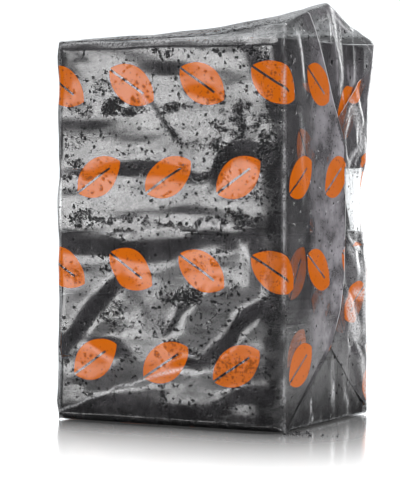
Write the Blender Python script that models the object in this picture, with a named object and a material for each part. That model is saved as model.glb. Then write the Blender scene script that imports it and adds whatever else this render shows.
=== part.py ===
"""A film-wrapped pack of pressed charcoal briquettes, standing upright.

Seventy-two cubes of 25 mm stand 4 across, 3 deep and 6 high in one wrap of thin clear film. The film is
a sleeve whose seam runs across the back, closed at both ends by envelope folds, and it stands up in a
loose ear over the right end. The origin is on the floor, under the middle of the block: +X runs to the
right along the front, the front faces -Y and +Z is up.
"""

import math

import bmesh
import bpy
from mathutils import Matrix, Vector

MM = 0.001
TOLERANCE = 0.001 * MM

# Driving dimensions of the briquettes
CUBE = 25.0 * MM
CUBE_GAP = 0.3 * MM
CUBE_CHAMFER = 0.7 * MM
COLUMNS = 4
ROWS = 3
LAYERS = 6

# One briquette at the back of the right end is broken: (column, row, layer), and how much of its depth is
# left at its top and at its bottom
BROKEN = (3, 2, 3)
BREAK_TOP = 1.4 * MM
BREAK_BOTTOM = 11.2 * MM

# Driving dimensions of the film. Its real thickness is about 0.035 mm, and the stand-in is thicker.
FILM = 0.3 * MM
FILM_CLEARANCE = 0.3 * MM
FILM_CORNER = 0.9 * MM
FLAP_OVERLAP = 0.1 * MM
SEAM_HEIGHT = 12.0 * MM

# The block and the film's box, worked out from the sizes above
PITCH = CUBE + CUBE_GAP
BLOCK_X = COLUMNS * PITCH - CUBE_GAP
BLOCK_Y = ROWS * PITCH - CUBE_GAP
BLOCK_Z = LAYERS * PITCH - CUBE_GAP
BLOCK_FLOOR = FILM + FILM_CLEARANCE
HALF_X = BLOCK_X / 2 + BLOCK_FLOOR
HALF_Y = BLOCK_Y / 2 + BLOCK_FLOOR
FILM_TOP = BLOCK_Z + 2 * BLOCK_FLOOR

# How far the loose film stands above the block along the front, in mm: (x, height)
FRONT_RISE = ((-51, 1.0), (-38, 1.6), (-12, 2.8), (13, 4.6), (40, 7.0), (51, 7.0))
# How that height is shared out from front to back: (y, share)
DEPTH_SHARE = ((-38, 0.65), (-30, 1.0), (0, 0.85), (38, 0.35))
# The ear: how far the film stands above the block along the right end, in mm: (y, height)
EAR_RISE = ((-38, 5.5), (-24, 8.8), (1, 14.6), (9, 12.4), (23, 4.4), (38, 2.5))
EAR_REACH = 34.0 * MM
# The film's top back corner stands out beside the ear
CORNER_FLARE = 2.5 * MM
FLARE_REACH = 16.0 * MM

# Broad billows where the film stands off the front and the back, in mm: each lies across the face at one
# height on the left and another on the right, with a half-width and a depth
BILLOWS = ((136, 140, 9, 1.0), (119, 122, 8, 0.8), (97, 101, 9, 1.1), (84, 76, 7, 0.8), (60, 62, 10, 0.6),
           (20, 46, 12, 1.1))
BILLOW_FADE = 12.0 * MM

# Where the film's skin is cut so that it can take those forms, in mm, and into how many bands in height
X_STATIONS = (-38, -25, -12, 0, 13, 22, 29, 36, 43, 48)
Y_STATIONS = (-30, -24, -12, 1, 9, 16, 23)
Z_BANDS = 16

# Outlines of the end folds, in mm: (from the flap's own vertical edge, down from the block's top)
FRONT_FLAP = ((0.6, 0.6), (20, 0.6), (46, 29), (55, 42), (53, 95), (49, 108), (40, 122), (8, 146), (0.6, 151))
BACK_FLAP = ((0.6, 13), (30, 30), (52, 46), (54, 60), (54, 98), (50, 110), (36, 122), (4, 148), (0.6, 150))

# The pinhole that an envelope fold leaves at its lower back corner
PINHOLE = 2.0 * MM
PINHOLE_Y = HALF_Y - 7.5 * MM
PINHOLE_Z = 2.2 * MM


def clear_scene():
    """Empties the file, so that only the pack is in it."""
    for item in list(bpy.data.objects):
        bpy.data.objects.remove(item)


def make_material(name, color, roughness, alpha=1.0):
    material = bpy.data.materials.new(name)
    material.use_nodes = True
    shader = material.node_tree.nodes["Principled BSDF"]
    shader.inputs["Base Color"].default_value = (*color, 1.0)
    shader.inputs["Roughness"].default_value = roughness
    shader.inputs["Metallic"].default_value = 0.0
    shader.inputs["Alpha"].default_value = alpha
    material.diffuse_color = (*color, alpha)
    return material


def add_object(name, bm, material):
    """Turns a bmesh into a named object with one material."""
    bmesh.ops.recalc_face_normals(bm, faces=bm.faces)
    mesh = bpy.data.meshes.new(name)
    bm.to_mesh(mesh)
    bm.free()
    item = bpy.data.objects.new(name, mesh)
    mesh.materials.append(material)
    bpy.context.collection.objects.link(item)
    return item


def box(bm, low, high):
    """Adds a box between two corners."""
    size = Vector(high) - Vector(low)
    middle = (Vector(high) + Vector(low)) / 2
    bmesh.ops.create_cube(bm, size=1.0, matrix=Matrix.LocRotScale(middle, None, size))


def cut_all(bm, axis, stations):
    """Cuts the whole mesh by planes square to an axis, so that it has vertices at those stations."""
    normal = Vector((axis == "x", axis == "y", axis == "z"))
    for station in stations:
        everything = bm.verts[:] + bm.edges[:] + bm.faces[:]
        bmesh.ops.bisect_plane(bm, geom=everything, dist=1e-7, plane_co=normal * station, plane_no=normal)


def chamfer(bm, edges, width, segments=1):
    bmesh.ops.bevel(bm, geom=edges, offset=width, segments=segments, profile=0.5, affect="EDGES", material=-1)


def read_table(table, value):
    """Reads a table of (place, height) at a place, straight between its points."""
    if value <= table[0][0]:
        return table[0][1]
    for (place, height), (next_place, next_height) in zip(table, table[1:]):
        if value <= next_place:
            share = (value - place) / (next_place - place)
            return height + share * (next_height - height)
    return table[-1][1]


def smooth(value):
    value = min(max(value, 0.0), 1.0)
    return value * value * (3 - 2 * value)


# Briquettes


def cube_centre(column, row, layer):
    """Middle of one briquette: columns run to the right, rows to the back, layers upwards, all from 0."""
    return Vector((
        (column - (COLUMNS - 1) / 2) * PITCH,
        (row - (ROWS - 1) / 2) * PITCH,
        BLOCK_FLOOR + CUBE / 2 + layer * PITCH,
    ))


def break_off(bm):
    """Breaks the back of a cube off along a slope, and closes the break."""
    top = Vector((0, BREAK_TOP - CUBE / 2, CUBE / 2))
    bottom = Vector((0, BREAK_BOTTOM - CUBE / 2, -CUBE / 2))
    outward = (top - bottom).cross(Vector((1, 0, 0)))
    if outward.y < 0:
        outward.negate()
    everything = bm.verts[:] + bm.edges[:] + bm.faces[:]
    bmesh.ops.bisect_plane(bm, geom=everything, plane_co=top, plane_no=outward, clear_outer=True)
    bmesh.ops.holes_fill(bm, edges=[edge for edge in bm.edges if edge.is_boundary])


def make_briquette(name, column, row, layer, material):
    """One pressed cube, with its edges worn to a small chamfer."""
    bm = bmesh.new()
    bmesh.ops.create_cube(bm, size=CUBE)
    chamfer(bm, bm.edges[:], CUBE_CHAMFER)
    if (column, row, layer) == BROKEN:
        break_off(bm)
    item = add_object(name, bm, material)
    item.location = cube_centre(column, row, layer)
    return item


def make_middle_briquettes(name, first, last, row, material):
    """The inner briquettes of the middle row as one solid of their form, grooved where two cubes meet."""
    low = cube_centre(first, row, 0) - Vector((CUBE, CUBE, CUBE)) / 2
    high = cube_centre(last, row, LAYERS - 1) + Vector((CUBE, CUBE, CUBE)) / 2
    bm = bmesh.new()
    box(bm, low, high)
    x_joints = [low.x + PITCH * count - CUBE_GAP / 2 for count in range(1, last - first + 1)]
    z_joints = [low.z + PITCH * count - CUBE_GAP / 2 for count in range(1, LAYERS)]
    sides = (-CUBE_CHAMFER, 0.0, CUBE_CHAMFER)
    cut_all(bm, "x", [joint + side for joint in x_joints for side in sides])
    cut_all(bm, "z", [joint + side for joint in z_joints for side in sides])
    joints = {0: x_joints, 1: [], 2: z_joints}
    moves = []
    for vert in bm.verts:
        move = Vector((0, 0, 0))
        for joint_axis, places in joints.items():
            if not any(abs(vert.co[joint_axis] - place) < TOLERANCE for place in places):
                continue
            for axis in range(3):
                if axis != joint_axis and abs(vert.co[axis] - low[axis]) < TOLERANCE:
                    move[axis] = CUBE_CHAMFER
                if axis != joint_axis and abs(vert.co[axis] - high[axis]) < TOLERANCE:
                    move[axis] = -CUBE_CHAMFER
        moves.append((vert, move))
    for vert, move in moves:
        vert.co += move
    return add_object(name, bm, material)


def make_briquettes(material):
    """Every briquette that a viewer can see from outside is its own piece."""
    for row, row_name in ((0, "front"), (ROWS - 1, "back")):
        for column in range(COLUMNS):
            for layer in range(LAYERS):
                name = f"briquette_{row_name}_c{column + 1}_l{layer + 1}"
                make_briquette(name, column, row, layer, material)
    middle_row = 1
    for layer in range(LAYERS):
        name = f"briquette_middle_c{COLUMNS}_l{layer + 1}"
        make_briquette(name, COLUMNS - 1, middle_row, layer, material)
    make_middle_briquettes("briquettes_middle_inner", 0, COLUMNS - 2, middle_row, material)


# Film wrap


def film_rise(x, y):
    """How far the loose film stands above the block's top at a place."""
    along_front = read_table(FRONT_RISE, x / MM) * read_table(DEPTH_SHARE, y / MM)
    along_end = read_table(EAR_RISE, y / MM)
    share = smooth((x - (HALF_X - EAR_REACH)) / EAR_REACH)
    return (along_front + share * (along_end - along_front)) * MM


def billow(x, y, z):
    """How far the loose film stands off the front or the back at a place. The seam on the back lies flat."""
    bulge = 0.0
    across = (x + HALF_X) / (2 * HALF_X)
    for left, right, half_width, depth in BILLOWS:
        off = abs(z / MM - (left + across * (right - left))) / half_width
        bulge = max(bulge, depth * smooth(1 - off))
    to_edge = min(HALF_X - abs(x), z, FILM_TOP - z)
    if y > 0:
        to_edge = min(to_edge, abs(z - FILM_TOP / 2) - SEAM_HEIGHT)
    return bulge * MM * smooth(to_edge / BILLOW_FADE)


def film_skin(inset):
    """The film's closed skin, inset from its outer face, with its billows and the top raised into the ear."""
    bm = bmesh.new()
    low = Vector((-HALF_X + inset, -HALF_Y + inset, inset))
    high = Vector((HALF_X - inset, HALF_Y - inset, FILM_TOP - inset))
    box(bm, low, high)
    # An inset of both walls shortens the slope between them by (2 - sqrt 2) of the inset
    chamfer(bm, bm.edges[:], FILM_CORNER - (2 - math.sqrt(2)) * inset, segments=2)
    top_edge = FILM_TOP - 2 * FILM_CORNER
    cut_all(bm, "x", [place * MM for place in X_STATIONS])
    cut_all(bm, "y", [place * MM for place in Y_STATIONS])
    cut_all(bm, "y", (PINHOLE_Y - PINHOLE / 2, PINHOLE_Y + PINHOLE / 2))
    cut_all(bm, "z", (PINHOLE_Z - PINHOLE / 2, PINHOLE_Z + PINHOLE / 2, top_edge))
    cut_all(bm, "z", [FILM_TOP * count / Z_BANDS for count in range(1, Z_BANDS)])
    for vert in bm.verts:
        if abs(vert.co.y) > HALF_Y - inset - TOLERANCE:
            vert.co.y += math.copysign(billow(*vert.co), vert.co.y)
        share = smooth((vert.co.z - top_edge) / (2 * FILM_CORNER - inset))
        flare = smooth(1 - (Vector((HALF_X, HALF_Y)) - vert.co.xy).length / FLARE_REACH)
        vert.co.z += share * film_rise(vert.co.x, vert.co.y)
        vert.co.xy += Vector((1, 1)).normalized() * share * flare * CORNER_FLARE
    return bm


def pinhole_edges(bm, end_x):
    """Opens the skin at the pinhole, and returns the edges round it."""
    face = min(bm.faces, key=lambda f: (f.calc_center_median() - Vector((end_x, PINHOLE_Y, PINHOLE_Z))).length)
    edges = face.edges[:]
    bmesh.ops.delete(bm, geom=[face], context="FACES_ONLY")
    return edges


def flap_plate(name, outline, end, edge_y, towards, layers, material):
    """One folded flap as a thin plate on an end of the sleeve: its outline is extruded out of the end."""
    bm = bmesh.new()
    start_x = end * (HALF_X - FLAP_OVERLAP)
    corners = []
    for across, down in outline:
        y = edge_y + towards * across * MM
        corners.append(bm.verts.new((start_x, y, FILM_TOP - down * MM)))
    bm.faces.new(corners)
    extruded = bmesh.ops.extrude_face_region(bm, geom=bm.faces[:])["geom"]
    moved = [part for part in extruded if isinstance(part, bmesh.types.BMVert)]
    bmesh.ops.translate(bm, verts=moved, vec=(end * (layers * FILM + FLAP_OVERLAP), 0, 0))
    return add_guide(name, bm, material)


def seam_plate(name, material):
    """The sleeve's seam, where the film's two long edges overlap across the back."""
    bm = bmesh.new()
    low = Vector((-HALF_X + FILM_CORNER, HALF_Y - FLAP_OVERLAP, (FILM_TOP - SEAM_HEIGHT) / 2))
    high = Vector((HALF_X - FILM_CORNER, HALF_Y + FILM, (FILM_TOP + SEAM_HEIGHT) / 2))
    box(bm, low, high)
    return add_guide(name, bm, material)


def add_guide(name, bm, material):
    """An object that only shapes the film through a Boolean, and isn't a piece of its own."""
    item = add_object(name, bm, material)
    item.hide_render = True
    item.display_type = "WIRE"
    return item


def make_film(material):
    """The outer and the inner skin, joined through the pinhole, with the folded flaps added on the ends."""
    bm = film_skin(0.0)
    inner = film_skin(FILM)
    bmesh.ops.recalc_face_normals(bm, faces=bm.faces)
    outer_edges = pinhole_edges(bm, HALF_X)
    pinhole_edges(inner, HALF_X - FILM)
    bmesh.ops.recalc_face_normals(inner, faces=inner.faces)
    bmesh.ops.reverse_faces(inner, faces=inner.faces)
    inner_mesh = bpy.data.meshes.new("inner_skin")
    inner.to_mesh(inner_mesh)
    inner.free()
    bm.from_mesh(inner_mesh)
    bpy.data.meshes.remove(inner_mesh)
    inner_edges = [edge for edge in bm.edges if edge.is_boundary and edge not in outer_edges]
    bmesh.ops.bridge_loops(bm, edges=outer_edges + inner_edges)
    film = add_object("film_wrap", bm, material)

    plates = [seam_plate("guide_seam", material)]
    for end, end_name in ((1, "right"), (-1, "left")):
        plates.append(flap_plate(f"guide_back_flap_{end_name}", BACK_FLAP, end, HALF_Y, -1, 1, material))
        plates.append(flap_plate(f"guide_front_flap_{end_name}", FRONT_FLAP, end, -HALF_Y, 1, 2, material))
    for plate in plates:
        union = film.modifiers.new(plate.name, "BOOLEAN")
        union.operation = "UNION"
        union.solver = "EXACT"
        union.object = plate
    return film


def main():
    clear_scene()
    charcoal = make_material("pressed_charcoal", (0.042, 0.042, 0.046), 0.85)
    film = make_material("clear_film", (0.72, 0.73, 0.74), 0.15, alpha=0.35)
    make_briquettes(charcoal)
    make_film(film)


main()
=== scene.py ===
# %% [markdown]
# A pack of pressed charcoal briquettes in a clear film wrap. Seventy-two small black cubes stand in a
# block, and one sheet of thin printed film is folded round them as paper is round a present. Nearly
# everything that the eye sees is the film: its folds, its gloss, the soot on its inside and its print.
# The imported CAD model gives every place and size, and this script gives it its looks.

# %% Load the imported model
import math
import random
from types import SimpleNamespace

import bmesh
import bpy
import numpy as np
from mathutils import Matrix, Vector, noise


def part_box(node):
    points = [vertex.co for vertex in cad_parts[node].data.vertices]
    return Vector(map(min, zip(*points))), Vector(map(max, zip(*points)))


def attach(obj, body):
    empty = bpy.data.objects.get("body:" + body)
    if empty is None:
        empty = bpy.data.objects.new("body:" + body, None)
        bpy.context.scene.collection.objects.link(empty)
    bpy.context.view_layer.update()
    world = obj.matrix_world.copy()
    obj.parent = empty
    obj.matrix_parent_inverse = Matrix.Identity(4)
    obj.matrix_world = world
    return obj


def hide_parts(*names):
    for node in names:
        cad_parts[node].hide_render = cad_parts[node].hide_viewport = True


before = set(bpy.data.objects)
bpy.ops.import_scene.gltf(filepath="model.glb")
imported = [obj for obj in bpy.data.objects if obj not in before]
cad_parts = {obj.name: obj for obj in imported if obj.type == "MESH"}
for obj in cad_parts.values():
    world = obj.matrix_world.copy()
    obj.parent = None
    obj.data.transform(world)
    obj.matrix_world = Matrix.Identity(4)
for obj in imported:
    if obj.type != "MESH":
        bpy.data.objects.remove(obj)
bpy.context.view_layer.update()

# %% [markdown]
# Sizes are in millimetres here, because a briquette and a fold are easier to think of that way. The block
# of cubes is read from the CAD nodes, so the film lies on them whatever the model says. A few small
# helpers serve everything. One turns a bmesh into an object, and one makes such an object a piece that
# rides on the model's body. One turns an sRGB hex colour, as a colour picker gives it, into the linear
# colour that shaders want. One adds a node of any kind, to a material, a light or the world, with its
# settings and its links.

# %% Sizes and helpers
MM = 0.001
cube_boxes = [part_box(name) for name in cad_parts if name.startswith("briquette")]
BLOCK_LOW = np.array([min(low[axis] for low, high in cube_boxes) for axis in range(3)]) / MM
BLOCK_HIGH = np.array([max(high[axis] for low, high in cube_boxes) for axis in range(3)]) / MM
print("block of cubes, mm:", BLOCK_LOW.round(2), BLOCK_HIGH.round(2))


def make_object(name, bm, material, smooth=False):
    """Turns a bmesh in millimetres into an object in metres."""
    bmesh.ops.scale(bm, verts=bm.verts, vec=(MM, MM, MM))
    mesh = bpy.data.meshes.new(name)
    bm.to_mesh(mesh)
    bm.free()
    mesh.materials.append(material)
    for polygon in mesh.polygons:
        polygon.use_smooth = smooth
    made = bpy.data.objects.new(name, mesh)
    bpy.context.scene.collection.objects.link(made)
    return made


def finish_piece(name, bm, material, replaced=(), smooth=False):
    """Turns a bmesh in millimetres into a piece of the pack."""
    piece = make_object(name, bm, material, smooth)
    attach(piece, "root")
    if replaced:
        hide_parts(*replaced)
    return piece


def linear(hex_colour):
    """sRGB hex to a linear colour."""
    parts = [int(hex_colour[place:place + 2], 16) / 255 for place in (1, 3, 5)]
    parts = [part / 12.92 if part <= 0.04045 else ((part + 0.055) / 1.055) ** 2.4 for part in parts]
    return (*parts, 1.0)


def new_material(name):
    """An empty node material, ready for its own nodes."""
    material = bpy.data.materials.new(name)
    material.use_nodes = True
    material.node_tree.nodes.clear()
    return material


def add(owner, kind, inputs=(), **settings):
    """Adds a shader node with its settings and its links.

    The inputs are a tuple in the node's own order, or a dict by name or number. Each is a value, an output
    of another node, or another node, whose first output is then meant.
    """
    tree = owner.node_tree
    node = tree.nodes.new("ShaderNode" + kind)
    for key, value in settings.items():
        setattr(node, key, value)
    for key, value in inputs.items() if isinstance(inputs, dict) else enumerate(inputs):
        value = value.outputs[0] if isinstance(value, bpy.types.Node) else value
        if isinstance(value, bpy.types.NodeSocket):
            tree.links.new(value, node.inputs[key])
        else:
            node.inputs[key].default_value = value
    return node


def ease(value):
    """A smooth step from 0 to 1."""
    value = np.clip(value, 0.0, 1.0)
    return value * value * (3 - 2 * value)


# %% [markdown]
# The camera stands where the photographer's did: in front of the pack and to its right, a little below
# the top of it, with a long lens. Its place and lens come from the pack's eight corners in the picture.
# It comes first, because the folds of the film are judged from there.

# %% Camera
CAMERA_PLACE = Vector((0.4269, -0.8032, 0.1047))  # metres
LOOKS_DOWN, LOOKS_LEFT = 2.28, 28.35  # degrees
camera = bpy.data.objects.new("camera", bpy.data.cameras.new("camera"))
bpy.context.scene.collection.objects.link(camera)
camera.location = CAMERA_PLACE
camera.rotation_euler = (math.radians(90 - LOOKS_DOWN), 0, math.radians(LOOKS_LEFT))
camera.data.lens = 160.1
camera.data.sensor_width = 36
bpy.context.scene.camera = camera
bpy.context.scene.view_settings.view_transform = "Standard"
print(f"camera: {CAMERA_PLACE.length:.2f} m away, {camera.data.lens:.0f} mm lens")

# %% [markdown]
# Glossy film shows the lights more than itself, so the lights are part of its look. A large soft box
# stands low at the front left, where the flat film mirrors it, and makes the pale areas. Where a fold
# tips the film up or to the right, it mirrors the dark room instead. A second box overhead lights the
# floor and the charcoal. On the right, a box lights the end and a narrow strip draws a line along the
# worn edges. The last box stands behind the pack: film on the end that tips to the back mirrors it and
# flashes white. Plain lamps would show as hard spots in such film, so each box fades towards its rim.

# %% Lights
AIM = Vector((0, 0, 0.076))  # metres, the middle of the pack


def soft_box(name, azimuth, elevation, distance, width, height, watts, edge=0.3):
    """An area light that looks at the pack. Azimuth 0 is straight in front, and it grows to the right.

    Its cloth is brightest in the middle and fades over the given share of its half size towards its rim.
    """
    light = bpy.data.lights.new(name, "AREA")
    light.shape = "RECTANGLE"
    light.size, light.size_y = width, height
    light.energy = watts
    light.use_nodes = True
    light.node_tree.nodes.clear()
    spot = add(light, "TexCoord").outputs["UV"]
    off = add(light, "VectorMath", (spot, (0.5, 0.5, 0)), operation="SUBTRACT")
    off = add(light, "VectorMath", (off,), operation="ABSOLUTE")
    halves = add(light, "SeparateXYZ", (off,)).outputs[:2]
    fades = [add(light, "MapRange", (half, 0.5 * (1 - edge), 0.5, 1.0, 0.0),
                 interpolation_type="SMOOTHSTEP") for half in halves]
    fade = add(light, "Math", fades, operation="MULTIPLY")
    glow = add(light, "Emission", {"Strength": fade})
    add(light, "OutputLight", (glow,))
    box = bpy.data.objects.new(name, light)
    turn, lift = math.radians(azimuth), math.radians(elevation)
    away = Vector((math.sin(turn) * math.cos(lift), -math.cos(turn) * math.cos(lift), math.sin(lift)))
    box.location = AIM + away * distance
    box.rotation_euler = (-away).to_track_quat("-Z", "Y").to_euler()
    bpy.context.scene.collection.objects.link(box)
    print(f"{name}: {watts} W, {distance} m away")


soft_box("key_soft_box", -33, -5.5, 1.1, 0.84, 0.74, 15.0, 0.75)
soft_box("overhead_soft_box", -5, 62, 1.3, 1.3, 0.8, 16.0)
soft_box("right_soft_box", 98, 38, 1.2, 0.7, 0.6, 11.5)
soft_box("edge_strip", 76, 8, 1.0, 0.12, 0.6, 0.45)
soft_box("rim_soft_box", 174, 6, 1.4, 0.55, 0.8, 6.8, 0.6)

# %% [markdown]
# The world is a bright wall behind the pack and a dim room on the other sides. The camera sees it as
# plain white. Only direction decides its brightness, so it stands still while other views move round the
# pack.

# %% World
WALL_MIDDLE = math.radians(212)  # measured as the lights' azimuth
WALL_HALF, WALL_FADE = math.radians(50), math.radians(4)
ROOM_GLOW, WALL_GLOW, SEEN_GLOW = 0.06, 1.35, 1.2
world = bpy.data.worlds.new("studio")
bpy.context.scene.world = world
world.use_nodes = True
world.node_tree.nodes.clear()
direction = add(world, "TexCoord").outputs["Generated"]
towards_wall = (math.sin(WALL_MIDDLE), -math.cos(WALL_MIDDLE), 0.0)
facing = add(world, "VectorMath", (direction, towards_wall), operation="DOT_PRODUCT").outputs["Value"]
wall = add(world, "MapRange", (
    facing, math.cos(WALL_HALF + WALL_FADE), math.cos(WALL_HALF - WALL_FADE), ROOM_GLOW, WALL_GLOW))
seen = add(world, "LightPath").outputs["Is Camera Ray"]
strength = add(world, "Mix", {"Factor": seen, 2: wall, 3: SEEN_GLOW})
background = add(world, "Background", {"Color": (0.95, 0.98, 1, 1), "Strength": strength})
add(world, "OutputWorld", (background,))
print("world nodes:", len(world.node_tree.nodes))

# %% [markdown]
# The floor is a polished white board. Near the pack it mirrors it, and further off the mirror image fades
# into plain white, so the floor's material mixes a glossy and a matt finish by the distance from the
# pack.

# %% Floor
FLOOR_HALF = 420.0
FLOOR_LEFT = -95.0  # the board ends close to the pack there, so the low film mirrors the soft box past it
PACK_FOOT = (0.051, 0.038, 0.0)  # metres, half of the ground that the pack covers
MIRROR_REACH = 0.130  # metres from the pack to where its mirror image has faded
MIRROR_MOST = 0.94
polished_board = new_material("polished_white_board")  # lacquered fibreboard: its polish mirrors the pack
on_floor = add(polished_board, "TexCoord").outputs["Object"]
outside = add(polished_board, "VectorMath", (on_floor,), operation="ABSOLUTE")
outside = add(polished_board, "VectorMath", (outside, PACK_FOOT), operation="SUBTRACT")
outside = add(polished_board, "VectorMath", (outside, (0, 0, 0)), operation="MAXIMUM")
distance = add(polished_board, "VectorMath", (outside,), operation="LENGTH").outputs["Value"]
mirror = add(polished_board, "MapRange", (distance, 0.0, MIRROR_REACH, MIRROR_MOST, 0.0))
matt = add(polished_board, "BsdfPrincipled", {
    "Base Color": linear("#EDEDED"), "Roughness": 0.9,
    "Emission Color": linear("#FFFFFF"), "Emission Strength": 0.45})
polish = add(polished_board, "BsdfGlossy", {"Color": linear("#FFFFFF"), "Roughness": 0.12})
board = add(polished_board, "MixShader", (mirror, matt, polish))
add(polished_board, "OutputMaterial", (board,))

bm = bmesh.new()
bmesh.ops.create_grid(bm, x_segments=1, y_segments=1, size=FLOOR_HALF)
for vert in bm.verts:
    vert.co.x = max(vert.co.x, FLOOR_LEFT)
floor = make_object("studio_floor", bm, polished_board)
print(f"floor: {2 * FLOOR_HALF:.0f} mm deep, and its mirror image fades over {1000 * MIRROR_REACH:.0f} mm")

# %% [markdown]
# The briquettes are sawdust charcoal pressed into cubes: matt, nearly black, with a coarse grain drawn
# down their sides by the press, pits where grains broke out, and edges that have worn grey. The grain
# could be modelled, but it is finer than a picture of the whole pack shows, so bump and tone carry it.
# The material reads Object coordinates, which run through the whole block, so no two cubes have the same
# grain.

# %% Charcoal
GRAIN = 1.4  # mm across a pressed grain
PRESS_LINE = 0.9  # mm between the lines that the press drew
LINE_SHORTNESS = 0.12  # how fast a line changes down the cube, compared with across it
pressed_charcoal = new_material("pressed_charcoal")  # burnt and pressed: it swallows light, with no gloss
in_block = add(pressed_charcoal, "TexCoord").outputs["Object"]
pressed_grain = add(pressed_charcoal, "TexNoise", {
    "Vector": in_block, "Scale": 1 / (GRAIN * MM), "Detail": 4.0, "Roughness": 0.6})
drawn_down = add(pressed_charcoal, "Mapping", {"Vector": in_block, "Scale": (1, 1, LINE_SHORTNESS)})
press_lines = add(pressed_charcoal, "TexNoise", {
    "Vector": drawn_down, "Scale": 1 / (PRESS_LINE * MM), "Detail": 3.0})
rough_face = add(pressed_charcoal, "Math", (pressed_grain, press_lines), operation="ADD")
tone = add(pressed_charcoal, "MapRange", (rough_face, 0.6, 1.4))
colour = add(pressed_charcoal, "Mix", {
    "Factor": tone, 6: linear("#18181A"), 7: linear("#3C3C3F")}, data_type="RGBA").outputs[2]
pits = add(pressed_charcoal, "Bump", {"Height": rough_face, "Strength": 0.6, "Distance": 0.0004})
dullness = add(pressed_charcoal, "MapRange", (pressed_grain, 0.3, 0.7, 0.7, 0.95))
charcoal = add(pressed_charcoal, "BsdfPrincipled", {
    "Base Color": colour, "Roughness": dullness, "Normal": pits})
add(pressed_charcoal, "OutputMaterial", (charcoal,))
print("charcoal nodes:", len(pressed_charcoal.node_tree.nodes))

# %% [markdown]
# Every cube leaves the press sharp and loses its edges on the way. A bevel would wear all of them alike,
# so a cube is cut fine instead, its points are drawn in to a form with round edges, and noise chips some
# edges more and dents the faces. One cube at the back is broken: a plane cuts it off along a slope, and
# the cut is filled, cut fine again and roughened.

# %% Worn cubes
CUBE = 25.0
CUBE_WEAR = 1.1  # mm, how round a worn edge is
DEEPEST_DENT = 0.25  # mm
OUTER_CUTS, INNER_CUTS = 9, 3
BROKEN = "briquette_back_c4_l4"
BREAK_TOP, BREAK_BOTTOM = 1.4, 11.2  # mm of the cube's depth that are left at its top and its bottom


def worn_cube(low, high, cuts, seed):
    """A pressed cube between two corners: cut fine, rounded at its edges, and chipped by noise."""
    bm = bmesh.new()
    bmesh.ops.create_cube(bm, size=1.0)
    bmesh.ops.subdivide_edges(bm, edges=bm.edges[:], cuts=cuts, use_grid_fill=True)
    middle, half = (low + high) / 2, (high - low) / 2
    shift = Vector((seed * 3.7, seed * 1.3, seed * 2.1))
    for vert in bm.verts:
        point = vert.co * 2
        chip = noise.noise(point * 3.1 + shift)
        radius = CUBE_WEAR * (1.0 + 0.8 * max(chip, 0.0))
        point = Vector(a * b for a, b in zip(point, half))
        core = Vector(min(max(value, radius - limit), limit - radius) for value, limit in zip(point, half))
        outward = (point - core).normalized()
        dent = DEEPEST_DENT * max(noise.noise(point * 0.22 + shift), 0.0)
        vert.co = middle + core + outward * (radius - dent)
    return bm


def break_off(bm, low):
    """Breaks the back of a cube off along a slope, and leaves a rough break."""
    top = low + Vector((0, BREAK_TOP, CUBE))
    along = Vector((0, BREAK_BOTTOM - BREAK_TOP, -CUBE))
    outward = Vector((0, -along.z, along.y)).normalized()
    everything = bm.verts[:] + bm.edges[:] + bm.faces[:]
    bmesh.ops.bisect_plane(bm, geom=everything, plane_co=top, plane_no=outward, clear_outer=True)
    rim = [edge for edge in bm.edges if edge.is_boundary]
    filled = bmesh.ops.triangle_fill(bm, use_beauty=True, edges=rim)["geom"]
    across = [item for item in filled if isinstance(item, bmesh.types.BMEdge) and item not in rim]
    inner = bmesh.ops.subdivide_edges(bm, edges=across, cuts=3, use_grid_fill=True)["geom_inner"]
    for vert in inner:
        if isinstance(vert, bmesh.types.BMVert):
            vert.co += outward * (0.9 * noise.noise(vert.co * 0.35) - 0.5)


briquettes = sorted(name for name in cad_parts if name.startswith("briquette_"))
for number, name in enumerate(briquettes):
    low, high = (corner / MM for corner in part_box(name))
    if name == BROKEN:
        high = low + Vector((CUBE, CUBE, CUBE))
    bm = worn_cube(low, high, OUTER_CUTS, number)
    if name == BROKEN:
        break_off(bm, low)
    finish_piece(f"{name}_worn", bm, pressed_charcoal, [name])
print("worn cubes:", len(briquettes))

# %% [markdown]
# No side shows the other eighteen cubes of the middle row, and the CAD model has them as one solid. Light
# still falls between them, so here they are cubes of their own, with fewer cuts.

# %% Inner cubes
CUBE_GAP = 0.3  # mm
COLUMNS_INSIDE, LAYERS = 3, 6
inner_low, inner_high = (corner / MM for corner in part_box("briquettes_middle_inner"))
step_x = (inner_high.x - inner_low.x + CUBE_GAP) / COLUMNS_INSIDE
step_z = (inner_high.z - inner_low.z + CUBE_GAP) / LAYERS
for column in range(COLUMNS_INSIDE):
    for layer in range(LAYERS):
        low = Vector((inner_low.x + column * step_x, inner_low.y, inner_low.z + layer * step_z))
        high = Vector((low.x + step_x - CUBE_GAP, inner_high.y, low.z + step_z - CUBE_GAP))
        bm = worn_cube(low, high, INNER_CUTS, 100 + column * LAYERS + layer)
        finish_piece(f"briquette_middle_c{column + 1}_l{layer + 1}_worn", bm, pressed_charcoal,
                     ["briquettes_middle_inner"])
print("inner cubes:", COLUMNS_INSIDE * LAYERS)

# %% [markdown]
# Pressed charcoal sheds crumbs. They lie between the cubes and the film, thickest along the joints of the
# front, and a few have fallen onto the floor beside the pack. Each is a small, flat, angular grain: a
# rough ball of twenty faces does for it, because hundreds of them are needed and each is a few pixels
# wide.

# %% Crumbs
CRUMBS, FALLEN = 420, 48
AT_JOINTS, JOINT_SPREAD = 0.6, 1.6  # the share of crumbs that lie along a joint, and mm off it
THICKEST = 0.34  # mm, what the space under the film takes
UNDER_FILM = 0.18  # mm from the cubes' faces to a crumb's middle
PITCH = CUBE + CUBE_GAP


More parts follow.
